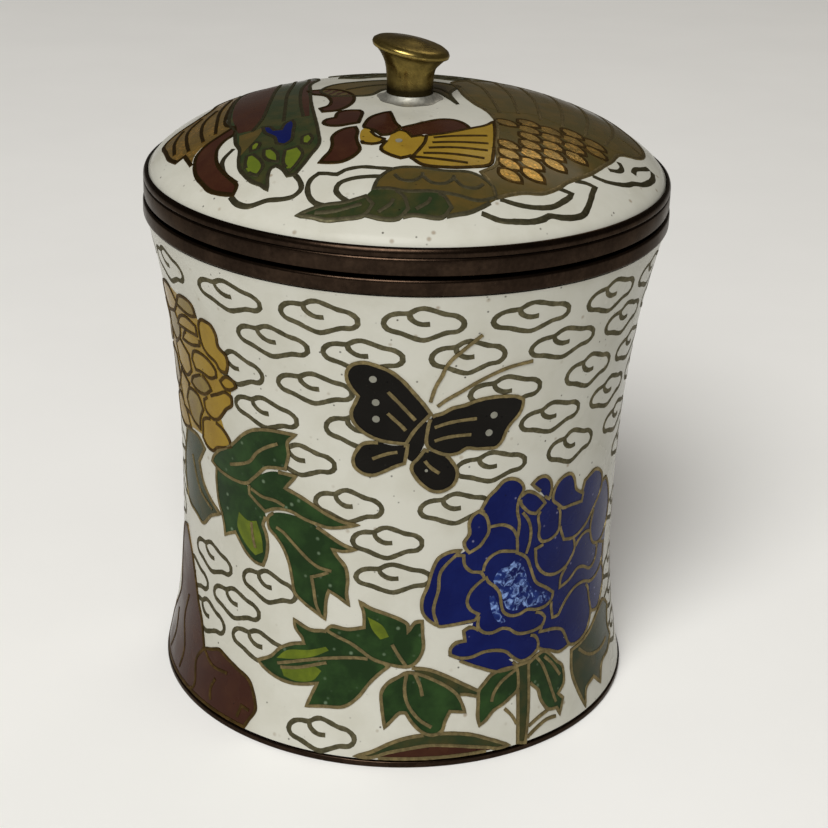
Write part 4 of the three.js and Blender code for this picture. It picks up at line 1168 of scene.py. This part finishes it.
PHOENIX_BODY = {
    "cells": (
        ("olive", ((5.1, 9.2), (5.8, 6.1), (6.5, 2.2), (7.7, -1.5), (8.9, -3.8), (9.7, -6.2),
            (10.1, -9.4), (9.8, -14.4), (9.6, -19), (8, -20.7), (9.2, -22.7), (9.6, -24.3), (12.4, -22.7),
            (14.6, -21.9), (16.4, -20.3), (17.6, -18.6), (19.2, -16.8), (20.6, -15), (22, -12.5),
            (23.3, -10), (24.3, -7.4), (26.7, -5.1), (27.7, -2.8), (27.9, -0.2), (27.5, 2.1), (25.9, 5.7),
            (23.5, 10.7), (19.5, 14.5), (15, 15.4), (10.5, 14.5), (7.1, 12.1))),
        ("patch olive", ((5.7, 9.1), (6.4, 6), (7.2, 2), (8.5, -1.8), (11.1, -3.7), (14.1, -2.9),
            (18.1, -5), (22, -6.8), (23.9, -6.9), (26.3, -4.5), (27.2, -2.8), (27.3, -0.4), (26.9, 2),
            (25.3, 5.6), (23, 10.3), (19.2, 14.1), (15, 14.9), (10.8, 14.1), (7.6, 11.9))),
    ),
    "wires": (
        ((7.1, 11.8), (8.6, 8.1), (9.6, 2.5), (10.5, -4.3)),
        ((10.4, 14.3), (11.4, 9.1), (12.2, 3.9), (12.7, -3.7)),
        ((13.4, 15.1), (14.3, 8.9), (15, 3.8), (15.3, -4.6)),
        ((16.6, 15.1), (17.7, 8.8), (18.1, 2.3), (17.8, -5.4)),
        ((19.8, 14), (21, 7), (21.2, 0.9), (20.4, -6.1)),
        ((23, 10.8), (24.3, 4.2), (24.1, -0.9), (22.6, -6.9)),
        ((24.7, -1.2), (26.3, -2), (27.5, -3.1)),
    ),
}  # fmt: skip

WING_FEATHERS = {
    "cells": (
        ("olive", ((-1.6, -21.4), (0.4, -21), (4, -21.3), (7, -21.1), (9.2, -22.7), (9.6, -24.3),
            (7.6, -25.2), (5.4, -24.9), (2.6, -24.7), (0, -24.9), (-2, -24.5), (-3.6, -24.5),
            (-3.1, -23))),
        ("deep_green", ((-11.6, -26.6), (-10, -27.2), (-8.6, -27.8), (-6.6, -28), (-4.4, -27.8),
            (-3.6, -26.6), (-4.4, -25.5), (-5, -25.7), (-6.6, -26.1), (-8.8, -26.1))),
        ("deep_green", ((-4.4, -27.8), (-2.2, -28.4), (-0.8, -28.3), (0.2, -27.2), (-0.4, -25.5),
            (-1.6, -24.7), (-3.6, -24.5), (-4.4, -25.5), (-3.6, -26.6))),
        ("deep_green", ((-0.8, -28.3), (0.6, -27.9), (3.8, -27.9), (4.8, -26.6), (3.8, -25.1), (1.4, -24.7),
            (-1.6, -24.7), (-0.4, -25.5), (0.2, -27.2))),
        ("olive", ((3.8, -27.9), (5.2, -27.4), (6.8, -26.8), (8.2, -25.8), (9.6, -24.5), (7.6, -25.2),
            (5.4, -24.9), (3.8, -25.1), (4.8, -26.6))),
    ),
    "wires": (
        ((-10.6, -26.7), (-7.6, -27), (-4.8, -26.5)),
        ((-3, -27.6), (-1.6, -26.5), (-1.4, -25.5)),
        ((1, -27.2), (2.4, -26.1), (2.6, -25.1)),
        ((5.6, -26.8), (6.2, -25.9), (7.4, -25.5)),
        ((-1.6, -21.9), (-0.8, -23.1), (0.6, -23.3), (1.6, -22.4), (1.6, -21.4)),
        ((1.6, -22.4), (2.6, -23.4), (4, -23.4), (5, -22.4), (5, -21.5)),
        ((5, -22.4), (6, -23.5), (7.4, -23.5), (8.2, -22.7)),
    ),
}  # fmt: skip

# Cloud bands of the lid's ground, as open wires.
LID_CLOUDS = (
    ((-12.2, -20.9), (-11.6, -22.1), (-11.4, -23.3), (-12.2, -24.1), (-13.4, -24.1), (-15, -23.7),
        (-17, -23.6), (-18.4, -22.6), (-19.2, -21.3)),
    ((-19.6, -12.7), (-20.6, -14.4), (-20.6, -16), (-20, -17.8), (-18.7, -19.7)),
    ((-1.2, -21.3), (-3, -21.1), (-5, -20.8), (-6.8, -21.2), (-7.6, -21.8), (-8.6, -21.5), (-9.6, -21.3),
        (-10.4, -22.1), (-10.7, -23.3), (-10.4, -24.7), (-9.6, -25.7), (-8.4, -26.2)),
    ((-2, -22.6), (-4, -22.5), (-6, -22.7), (-7.3, -23.3), (-7.6, -24.3), (-7, -25.3), (-6.2, -26)),
    ((8, -26.6), (10, -26.9), (12, -26.4), (13.6, -25.8), (14.8, -25), (15.4, -24.4), (16.6, -24),
        (18, -23.3), (19.2, -22.3), (19.8, -21), (20.2, -19.6), (20.5, -18.3), (20.8, -17.3), (19.8, -17.3),
        (18.4, -17.8)),
    ((10, -24.3), (12, -24.4), (14, -24), (15.8, -23.1), (17, -21.8), (17.8, -20.7), (18, -20.1),
        (16.6, -20.1)),
    ((20.6, -15.4), (22, -15.3), (23.6, -14.5), (24.8, -13.5), (25.6, -12.4), (26.8, -11.2), (27.8, -9.4),
        (28.4, -7.7), (28.5, -6)),
    ((22.7, -12.5), (23.9, -11.7), (24.4, -10.5), (24.1, -9.4)),
    ((28, -5.8), (27.2, -7.2), (26.1, -8.8), (25.8, -10.2)),
)  # fmt: skip

LID_MOTIFS = (
    ("eye_feather", EYE_FEATHER, "deep_green_enamel", dark_wire),
    ("ribbon", RIBBON, "iron_red_enamel", bronze_wire),
    ("phoenix_neck", PHOENIX_NECK, "yellow_enamel", bronze_wire),
    ("phoenix_body", PHOENIX_BODY, "amber_enamel", wire_brass),
    ("wing_feathers", WING_FEATHERS, "deep_green_enamel", dark_wire),
)

# One scale of the phoenix's breast, about its middle.
SCALE = (
    (-1.25, 0.8), (-0.6, 1.05), (0.5, 0.75), (1.2, -0.1),
    (1.25, -0.9), (0.3, -1.05), (-0.8, -0.7), (-1.3, 0.0),
)  # fmt: skip

TAIL_BANDS = (
    # inner and outer radius, start and end in degrees from +X, enamel
    (12.6, 17.0, 60, 126, "deep_green"),
    (17.6, 21.4, 56, 121, "amber"),
    (22.4, 26.4, 46, 119, "red"),
)


def plan_point(radius, degrees):
    """The point of the plan at a radius and an angle from +X."""
    angle = math.radians(degrees)
    return (radius * math.cos(angle), radius * math.sin(angle))


def tail_bands():
    """Tail feathers that sweep over the back of the lid, and a short one right behind the knob."""
    cells = [
        ("olive", ((5.6, -2), (4.6, 0.6), (3, 3.6), (0, 4.4), (-3, 3.8), (-4.8, 0.8), (-9.2, 0.2),
            (-10.6, 3), (-9.4, 6.4), (-5, 8.6), (0, 9.4), (4, 8.6), (6, 7), (4.8, 3)))
    ]  # fmt: skip
    wires = [((4.8, 2.4), (3.6, 5), (0, 6.6), (-4, 6), (-7.6, 3.6))]
    for inner, outer, start, end, enamel in TAIL_BANDS:
        steps = [start + (end - start) * k / 10 for k in range(11)]
        middle = 0.5 * (inner + outer)
        outward = [plan_point(outer, d) for d in steps[1:-1]]
        inward = [plan_point(inner, d) for d in reversed(steps[1:-1])]
        cells.append((enamel, [plan_point(middle, start), *outward, plan_point(middle, end), *inward]))
        wires.append([plan_point(middle, d) for d in steps])
        for d in steps[1:-1]:
            for side in (outer, inner):
                halfway = plan_point(0.5 * (middle + side), d + 3.4)
                wires.append([plan_point(middle, d), halfway, plan_point(side, d + 4.6)])
    return {"cells": cells, "wires": wires}


def scales():
    """Slanting gold scales of the phoenix's breast, in columns."""
    breast = [Vector(p) for p in PHOENIX_BODY["cells"][0][1]]
    cells = []
    for column in range(6):
        x = 11.2 + 2.55 * column
        for row in range(9):
            y = -22.4 + 2.1 * row + 1.05 * (column % 2)
            outline = [(x + right, y + back) for right, back in SCALE]
            if y < -5.6 and all(inside(p, breast) for p in outline):
                cells.append(("top gold", outline))
    return {"cells": cells, "wires": ()}


# ---- Pieces ----

ENAMELS = {
    "cobalt": cobalt_enamel,
    "sky": sky_enamel,
    "yellow": yellow_enamel,
    "amber": amber_enamel,
    "green": leaf_green_enamel,
    "deep_green": deep_green_enamel,
    "lime": young_leaf_enamel,
    "olive": olive_enamel,
    "red": iron_red_enamel,
    "black": black_enamel,
    "grey": grey_enamel,
    "gold": goldstone,
    "moss": moss_enamel,
}
MADE = {}


def finish(maker):
    """The material that a maker makes, made once."""
    if maker not in MADE:
        MADE[maker] = maker()
    return MADE[maker]


def anticlockwise(curve):
    """The closed curve, turned round if it runs clockwise."""
    area = sum(a.x * b.y - b.x * a.y for a, b in zip(curve, curve[1:] + curve[:1]))
    return curve if area > 0 else curve[::-1]


def as_drawn(points):
    """The outline where it was drawn, on the front."""
    return points


def to_the_back(points):
    """The same outline on the back of the wall, mirrored about the jar's side."""
    return [(HALF_TURN - u, v) for u, v in points]


def draw_motif(name, motif, place, body, slot, nodes=(), turn=as_drawn, wire=wire_brass):
    """The cells and the wires of one motif, as two pieces that stand for its two CAD nodes."""
    cells, wires = Draft(place), Draft(place)
    used, curves = [], []
    for key, outline in motif["cells"]:
        layer, enamel = (["cell"] + key.split())[-2:]
        if enamel not in used:
            used.append(enamel)
        curve = anticlockwise(smooth(turn(outline), True))
        cells.fill(curve, LAYERS[layer], used.index(enamel))
        if layer in ("cell", "top"):
            curves.append((curve, True))
    curves += [(smooth(turn(line), False), False) for line in motif["wires"]]
    wires.wires_once(curves, length("motif_wire"), WIRE_LIFT)
    dots = motif.get("dots", ())
    if dots:
        used.append("grey")
    for x, y, radius in dots:
        angles = [2 * math.pi * k / 12 for k in range(12)]
        ring = turn([(x + radius * math.cos(a), y + radius * math.sin(a)) for a in angles])
        cells.fill(anticlockwise([Vector(p) for p in ring]), WIRE_LIFT, used.index("grey"))
    enamels = [finish(ENAMELS[enamel]) for enamel in used]
    filling = [node for node in nodes if node.endswith("_enamel")]
    frames = [node for node in nodes if node.endswith("_wire")]
    cells.piece(f"{name}_cells", enamels, body, slot, *filling)
    wires.piece(f"{name}_wires", [finish(wire)], body, "wire_brass", *frames)


class AddWall(bpy.types.Operator):
    """Wall of the jar: copper blank, white enamel outside and counter-enamel inside"""

    bl_idname = "jar.add_wall"
    bl_label = "Wall"

    def execute(self, context):
        enamel = length("enamel")
        copper_inset = enamel + BOND
        lining_inset = copper_inset + COPPER + BOND
        low, high = WALL_FOOT, WALL_TOP
        outside = wall_layer(0, enamel, low, high)
        white = [finish(white_enamel)]
        turned("wall_enamel", outside, white, "jar", "white_enamel", "body_enamel", segments=320)
        blank_low, blank_high = cad_size("body_blank")[1:]
        blank = wall_layer(copper_inset, COPPER, blank_low, blank_high)
        turned("wall_copper", blank, [finish(spun_copper)], "jar", "copper_blank", "body_blank")
        lining_low, lining_high = cad_size("body_lining")[1:]
        lining = wall_layer(lining_inset, LINING, lining_low, lining_high)
        turned("wall_lining", lining, [finish(counter_enamel)], "jar", "counter_enamel", "body_lining")
        return {"FINISHED"}


class AddClouds(bpy.types.Operator):
    """Wire clouds all over the white ground of the wall"""

    bl_idname = "jar.add_clouds"
    bl_label = "Clouds"

    def execute(self, context):
        draft = Draft(on_wall)
        width = length("cloud_wire")
        for row, (v, centres) in enumerate(CLOUD_ROWS):
            for column, u in enumerate(centres):
                for turn in (as_drawn, to_the_back):
                    stretch = 1 + 0.06 * math.sin(2.3 * row + 4.1 * column)
                    drift = 0.25 * math.sin(3.7 * row + 1.3 * column)
                    outline = [(u + x * stretch, v + y / stretch + drift * x * 0.05) for x, y in CLOUD]
                    hook = [(u + x * stretch, v + y / stretch) for x, y in CLOUD_HOOK]
                    draft.wire(anticlockwise(smooth(turn(outline), True)), width, CLOUD_LIFT, True)
                    draft.wire(smooth(turn(hook), False), width, CLOUD_LIFT)
        draft.piece("cloud_wires", [finish(dark_wire)], "jar", "wire_brass")
        return {"FINISHED"}


class AddWallMotifs(bpy.types.Operator):
    """Butterfly, peonies, leaves and rock of the wall, front and back"""

    bl_idname = "jar.add_wall_motifs"
    bl_label = "Wall Motifs"

    def execute(self, context):
        for name, motif, slot, wire in WALL_MOTIFS:
            nodes = (f"{name}_enamel", f"{name}_wire")
            draw_motif(name, motif, on_wall, "jar", slot, nodes, wire=wire)
            draw_motif(f"rear_{name}", motif, on_wall, "jar", slot, turn=to_the_back, wire=wire)
        return {"FINISHED"}


class AddFoot(bpy.types.Operator):
    """Brass foot ring, base plate and the enamels of the base and the floor"""

    bl_idname = "jar.add_foot"
    bl_label = "Foot"

    def execute(self, context):
        rib_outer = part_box("base_plate")[1].x / MM
        band_top = WALL_FOOT - BOND
        inner = cad_size("base_enamel")[0] + BOND
        ring = eased(
            (
                (FOOT_RADIUS, FOOT_BOTTOM),
                (FOOT_RADIUS, band_top),
                (rib_outer, band_top),
                (rib_outer, FOOT_RIB_TOP),
                (inner, FOOT_RIB_TOP),
                (inner, FOOT_BOTTOM),
            ),
            0.22,
        )
        turned("foot_ring_turned", ring, [finish(aged_brass)], "jar", "aged_brass", "foot_ring")
        for name, node, maker, slot in (
            ("base_plate_disc", "base_plate", spun_copper, "copper_blank"),
            ("base_underside", "base_enamel", counter_enamel, "counter_enamel"),
            ("floor_glaze", "floor_lining", counter_enamel, "counter_enamel"),
        ):
            radius, low, high = cad_size(node)
            profile = eased(((0, low), (radius, low), (radius, high), (0, high)), 0.15)
            turned(name, profile, [finish(maker)], "jar", slot, node)
        return {"FINISHED"}


class AddMouth(bpy.types.Operator):
    """Brass mouth ring and the collar that centres the lid"""

    bl_idname = "jar.add_mouth"
    bl_label = "Mouth"

    def execute(self, context):
        bore = COLLAR_RADIUS + BOND
        low, high, outer = MOUTH_RING_FOOT, MOUTH_RING_TOP, MOUTH_RING_RADIUS
        ring = eased(((bore, low), (outer, low), (outer, high), (bore, high)), 0.42, 5)
        patina = [finish(aged_brass)]
        turned("mouth_ring_turned", ring, patina, "jar", "aged_brass", "mouth_ring", segments=256)
        within = COLLAR_RADIUS - COLLAR_WALL
        low, high, outer = COLLAR_FOOT, COLLAR_TOP, COLLAR_RADIUS
        collar = eased(((within, low), (outer, low), (outer, high), (within, high)), 0.25)
        turned("collar_turned", collar, [finish(clean_brass)], "jar", "clean_brass", "neck_collar")
        return {"FINISHED"}


class AddDome(bpy.types.Operator):
    """Domed top of the lid: copper blank, white enamel and counter-enamel"""

    bl_idname = "jar.add_dome"
    bl_label = "Dome"

    def execute(self, context):
        enamel = length("enamel")
        hole = KNOB_STEM_RADIUS + BOND
        top = dome_layer(0, enamel, hole, DOME_RADIUS)
        turned("dome_enamel", top, [finish(white_enamel)], "lid", "white_enamel", "lid_enamel", segments=320)
        drop = enamel + BOND
        edge, foot, _ = cad_size("lid_blank")
        within = edge - COPPER
        tail = SPIGOT_RADIUS + BOND
        above, below = levels(tail, edge, LAYER_STEP), levels(tail, within, LAYER_STEP)
        blank = [(edge, foot)] + [(r, dome_height(r) - drop) for r in reversed(above)]
        blank += [(r, dome_height(r) - drop - COPPER) for r in below]
        blank += [(within, foot)]
        turned("dome_copper", blank, [finish(spun_copper)], "lid", "copper_blank", "lid_blank")
        lining = dome_layer(drop + COPPER + BOND, LINING, tail, cad_size("lid_lining")[0])
        turned("dome_lining", lining, [finish(counter_enamel)], "lid", "counter_enamel", "lid_lining")
        return {"FINISHED"}


class AddLidMotifs(bpy.types.Operator):
    """Phoenix, feathers, ribbon and cloud bands of the lid"""

    bl_idname = "jar.add_lid_motifs"
    bl_label = "Lid Motifs"

    def execute(self, context):
        clouds = Draft(on_dome)
        for line in LID_CLOUDS:
            clouds.wire(smooth(line, False), length("cloud_wire"), CLOUD_LIFT)
        clouds.piece("lid_cloud_wires", [finish(dark_wire)], "lid", "wire_brass")
        draw_motif("tail_feathers", tail_bands(), on_dome, "lid", "olive_enamel", wire=dark_wire)
        for name, motif, slot, wire in LID_MOTIFS:
            draw_motif(name, motif, on_dome, "lid", slot, (f"{name}_enamel", f"{name}_wire"), wire=wire)
        draw_motif("phoenix_scales", scales(), on_dome, "lid", "amber_enamel", wire=bronze_wire)
        return {"FINISHED"}


class AddLidRim(bpy.types.Operator):
    """Turned brass rim round the lid, with its floor on the mouth ring"""

    bl_idname = "jar.add_lid_rim"
    bl_label = "Lid Rim"

    def execute(self, context):
        low, high, outer = LID_RIM_FOOT, LID_RIM_TOP, LID_RIM_RADIUS
        seat = DOME_RADIUS + BOND
        bore = COLLAR_RADIUS + RIM_CLEARANCE
        floor = low + RIM_FLOOR
        face = [
            (outer - 0.3, low),
            (outer - 0.08, low + 0.12),
            (outer, low + 0.4),
            (outer, high - 1.35),
            (outer - 0.05, high - 1.2),
            (outer - 0.16, high - 1.12),
            (outer - 0.05, high - 1.02),
            (outer, high - 0.85),
            (outer - 0.03, high - 0.5),
            (outer - 0.14, high - 0.22),
            (outer - 0.3, high - 0.05),
            (seat, high),
        ]
        profile = face + [(seat, floor), (bore, floor), (bore, low)]
        turned("lid_rim_turned", profile, [finish(aged_brass)], "lid", "aged_brass", "lid_rim", segments=256)
        return {"FINISHED"}


class AddKnob(bpy.types.Operator):
    """Turned knob with a bent head, its solder, and the washer and nut that hold it"""

    bl_idname = "jar.add_knob"
    bl_label = "Knob"

    def execute(self, context):
        add_knob_body()
        add_solder()
        add_washer()
        add_nut()
        return {"FINISHED"}


def add_knob_body():
    """The knob is turned, and its head then bent so that it falls towards +X."""
    crown = dome_height(0) + KNOB_HEIGHT
    underside = crown - 2.0
    head, stem = KNOB_RADIUS, KNOB_STEM_RADIUS
    shoulder = dome_height(stem) - length("enamel")
    flare_start = underside - 2.6
    profile = [
        (0, KNOB_TAIL),
        (SPIGOT_RADIUS, KNOB_TAIL),
        (SPIGOT_RADIUS, shoulder),
        (stem, shoulder),
        (stem, flare_start - 0.6),
        (stem + 0.03, flare_start),
        (stem + 0.28, underside - 1.2),
        (stem + 0.9, underside - 0.2),
        (head - 0.5, underside + 0.25),
        (head - 0.08, underside + 0.5),
        (head, underside + 0.8),
        (head - 0.12, underside + 1.1),
        (head - 0.5, underside + 1.35),
        (0.62 * head, crown - 0.42),
        (0.5 * head, crown - 0.34),
        (0.3 * head, crown - 0.16),
        (0, crown),
    ]
    fine = smooth(profile[3:], False)
    outline = [Vector(p) for p in profile[:3]] + [Vector((max(p.x, 0.0), p.y)) for p in fine]
    piece = turned("knob_turned", outline, [finish(knob_brass)], "lid", "knob_brass", "knob", segments=96)
    slope = math.tan(KNOB_TILT)
    for vertex in piece.data.vertices:
        share = min(1.0, max(0.0, (vertex.co.z / MM - flare_start) / (underside - flare_start)))
        share = share * share * (3 - 2 * share)
        vertex.co.z -= slope * share * vertex.co.x


def add_solder():
    """A low concave fillet of solder round the foot of the stem."""
    inner = KNOB_STEM_RADIUS + 0.02
    outer = inner + SOLDER_WIDTH
    count = 8
    slope = []
    for k in range(count + 1):
        t = k / count
        r = inner + (outer - inner) * (1 - t)
        slope.append((r, dome_height(r) + 0.02 + SOLDER_RISE * t**2.2))
    profile = [(inner, dome_height(inner) - 0.05), (outer, dome_height(outer) - 0.05)] + slope
    solder = [finish(soft_solder)]
    piece = turned("knob_solder_fillet", profile, solder, "lid", "soft_solder", "knob_solder", segments=96)
    for vertex in piece.data.vertices:
        angle = math.atan2(vertex.co.y, vertex.co.x)
        away = math.hypot(vertex.co.x, vertex.co.y) / MM - inner
        swell = 1 + 0.05 * away * (math.sin(3 * angle) + 0.6 * math.sin(7 * angle + 1))
        vertex.co.x *= swell
        vertex.co.y *= swell


def add_washer():
    """A plain turned washer under the dome."""
    radius, low, high = cad_size("knob_washer")
    hole = SPIGOT_RADIUS + BOND
    profile = eased(((hole, low), (radius, low), (radius, high), (hole, high)), 0.15)
    turned("washer_turned", profile, [finish(clean_brass)], "lid", "clean_brass", "knob_washer", segments=64)


def add_nut():
    """A hexagonal nut with its corners turned off."""
    low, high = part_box("knob_nut")
    flat = (high.y - low.y) / 2 / MM
    bottom, top = low.z / MM, high.z / MM
    bore = SPIGOT_RADIUS + BOND
    segments = 48

    def hexagon(angle):
        nearest = round((angle - math.pi / 6) / (math.pi / 3)) * math.pi / 3 + math.pi / 6
        return flat / math.cos(angle - nearest)

    shape = bmesh.new()
    rows = []
    for z, largest in (
        (bottom, bore),
        (bottom, flat),
        (bottom + NUT_CHAMFER, math.inf),
        (top - NUT_CHAMFER, math.inf),
        (top, flat),
        (top, bore),
    ):
        row = []
        for k in range(segments):
            angle = 2 * math.pi * k / segments
            r = min(hexagon(angle), largest) * MM
            row.append(shape.verts.new((r * math.cos(angle), r * math.sin(angle), z * MM)))
        rows.append(row)
    for lower, upper in zip(rows, rows[1:] + rows[:1]):
        for k in range(segments):
            n = (k + 1) % segments
            shape.faces.new((lower[k], lower[n], upper[n], upper[k]))
    mesh = bpy.data.meshes.new("nut_hexagon")
    shape.to_mesh(mesh)
    shape.free()
    finished("nut_hexagon", mesh, [finish(clean_brass)], "lid", "clean_brass", "knob_nut")


def floor_paper():
    """Matte paper sweep: a plain pale surface with a faint grain."""
    material, tree, shader, place = new_material("matte_paper_sweep")
    grain = ranged(tree, noise_of(tree, place, 40.0), 0.3, 0.7, 0.0, 1.0)
    tree.links.new(mixed(tree, grain, linear("#F8F8F7"), linear("#F5F5F4")), shader.inputs["Base Color"])
    shader.inputs["Roughness"].default_value = 0.9
    shader.inputs["Specular IOR Level"].default_value = 0.1
    return material


def area_light(name, place, size, power, tint):
    """A soft round lamp, placed in metres, that looks at the middle of the jar."""
    lamp = bpy.data.lights.new(name, "AREA")
    lamp.shape = "DISK"
    lamp.size = size
    lamp.energy = power
    lamp.color = tint
    light = bpy.data.objects.new(name, lamp)
    light.location = place
    aim = Vector((0, 0, 0.045)) - Vector(place)
    light.rotation_euler = aim.to_track_quat("-Z", "Y").to_euler()
    bpy.context.scene.collection.objects.link(light)


def add_floor(scene):
    """A wide flat floor under the foot, left out of the object."""
    shape = bmesh.new()
    bmesh.ops.create_grid(shape, x_segments=24, y_segments=24, size=3.0)
    mesh = bpy.data.meshes.new("floor_sweep")
    shape.to_mesh(mesh)
    shape.free()
    mesh.materials.append(floor_paper())
    floor = bpy.data.objects.new("floor_sweep", mesh)
    floor.location.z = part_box("foot_ring")[0].z
    scene.collection.objects.link(floor)


def add_surround(scene):
    """A dim warm light from all round."""
    world = bpy.data.worlds.new("studio_surround")
    world.use_nodes = True
    surround = world.node_tree.nodes["Background"]
    surround.inputs["Color"].default_value = (1.0, 0.93, 0.82, 1.0)
    surround.inputs["Strength"].default_value = SURROUND
    scene.world = world
    scene.view_settings.view_transform = "Standard"


def add_camera(scene):
    """The camera that looks down on the front of the jar."""
    camera = bpy.data.objects.new("camera", bpy.data.cameras.new("camera"))
    camera.data.lens = CAMERA_LENS
    camera.data.clip_start = 0.01
    right, up, back = (Vector(v) for v in (CAMERA_RIGHT, CAMERA_UP, CAMERA_BACK))
    turn = Matrix((right, up, back)).transposed().to_4x4()
    camera.matrix_world = Matrix.Translation(Vector(CAMERA_PLACE) * MM) @ turn
    scene.collection.objects.link(camera)
    scene.camera = camera


class AddStage(bpy.types.Operator):
    """Pale floor, soft lamps, a dim surround and the camera"""

    bl_idname = "jar.add_stage"
    bl_label = "Stage"

    def execute(self, context):
        add_floor(context.scene)
        area_light("key_lamp", (-0.25, -0.92, 1.05), 0.8, KEY_POWER, (1.0, 0.99, 0.96))
        area_light("back_lamp", (0.22, 0.5, 0.62), 0.3, BACK_POWER, (1.0, 0.93, 0.84))
        add_surround(context.scene)
        add_camera(context.scene)
        return {"FINISHED"}


class JarPanel(bpy.types.Panel):
    """The jar's sizes and colours, and its pieces in the order they are added"""

    bl_idname = "VIEW3D_PT_jar"
    bl_label = "Lidded Jar"
    bl_space_type = "VIEW_3D"
    bl_region_type = "UI"
    bl_category = "Jar"

    def draw(self, context):
        for group in (context.scene.jar_sizes, context.scene.jar_colours):
            for key in group.__annotations__:
                self.layout.prop(group, key)
        for operator in OPERATORS:
            self.layout.operator(operator.bl_idname)


OPERATORS = (
    AddWall,
    AddClouds,
    AddWallMotifs,
    AddFoot,
    AddMouth,
    AddDome,
    AddLidMotifs,
    AddLidRim,
    AddKnob,
    AddStage,
)
CLASSES = (JarSizes, JarColours, JarPanel, *OPERATORS)


def register():
    for cls in CLASSES:
        bpy.utils.register_class(cls)
    bpy.types.Scene.jar_sizes = bpy.props.PointerProperty(type=JarSizes)
    bpy.types.Scene.jar_colours = bpy.props.PointerProperty(type=JarColours)


def unregister():
    del bpy.types.Scene.jar_colours
    del bpy.types.Scene.jar_sizes
    for cls in reversed(CLASSES):
        bpy.utils.unregister_class(cls)


def main():
    register()
    bpy.ops.jar.add_wall()
    bpy.ops.jar.add_clouds()
    bpy.ops.jar.add_wall_motifs()
    bpy.ops.jar.add_foot()
    bpy.ops.jar.add_mouth()
    bpy.ops.jar.add_dome()
    bpy.ops.jar.add_lid_motifs()
    bpy.ops.jar.add_lid_rim()
    bpy.ops.jar.add_knob()
    bpy.ops.jar.add_stage()


if __name__ == "__main__":
    main()
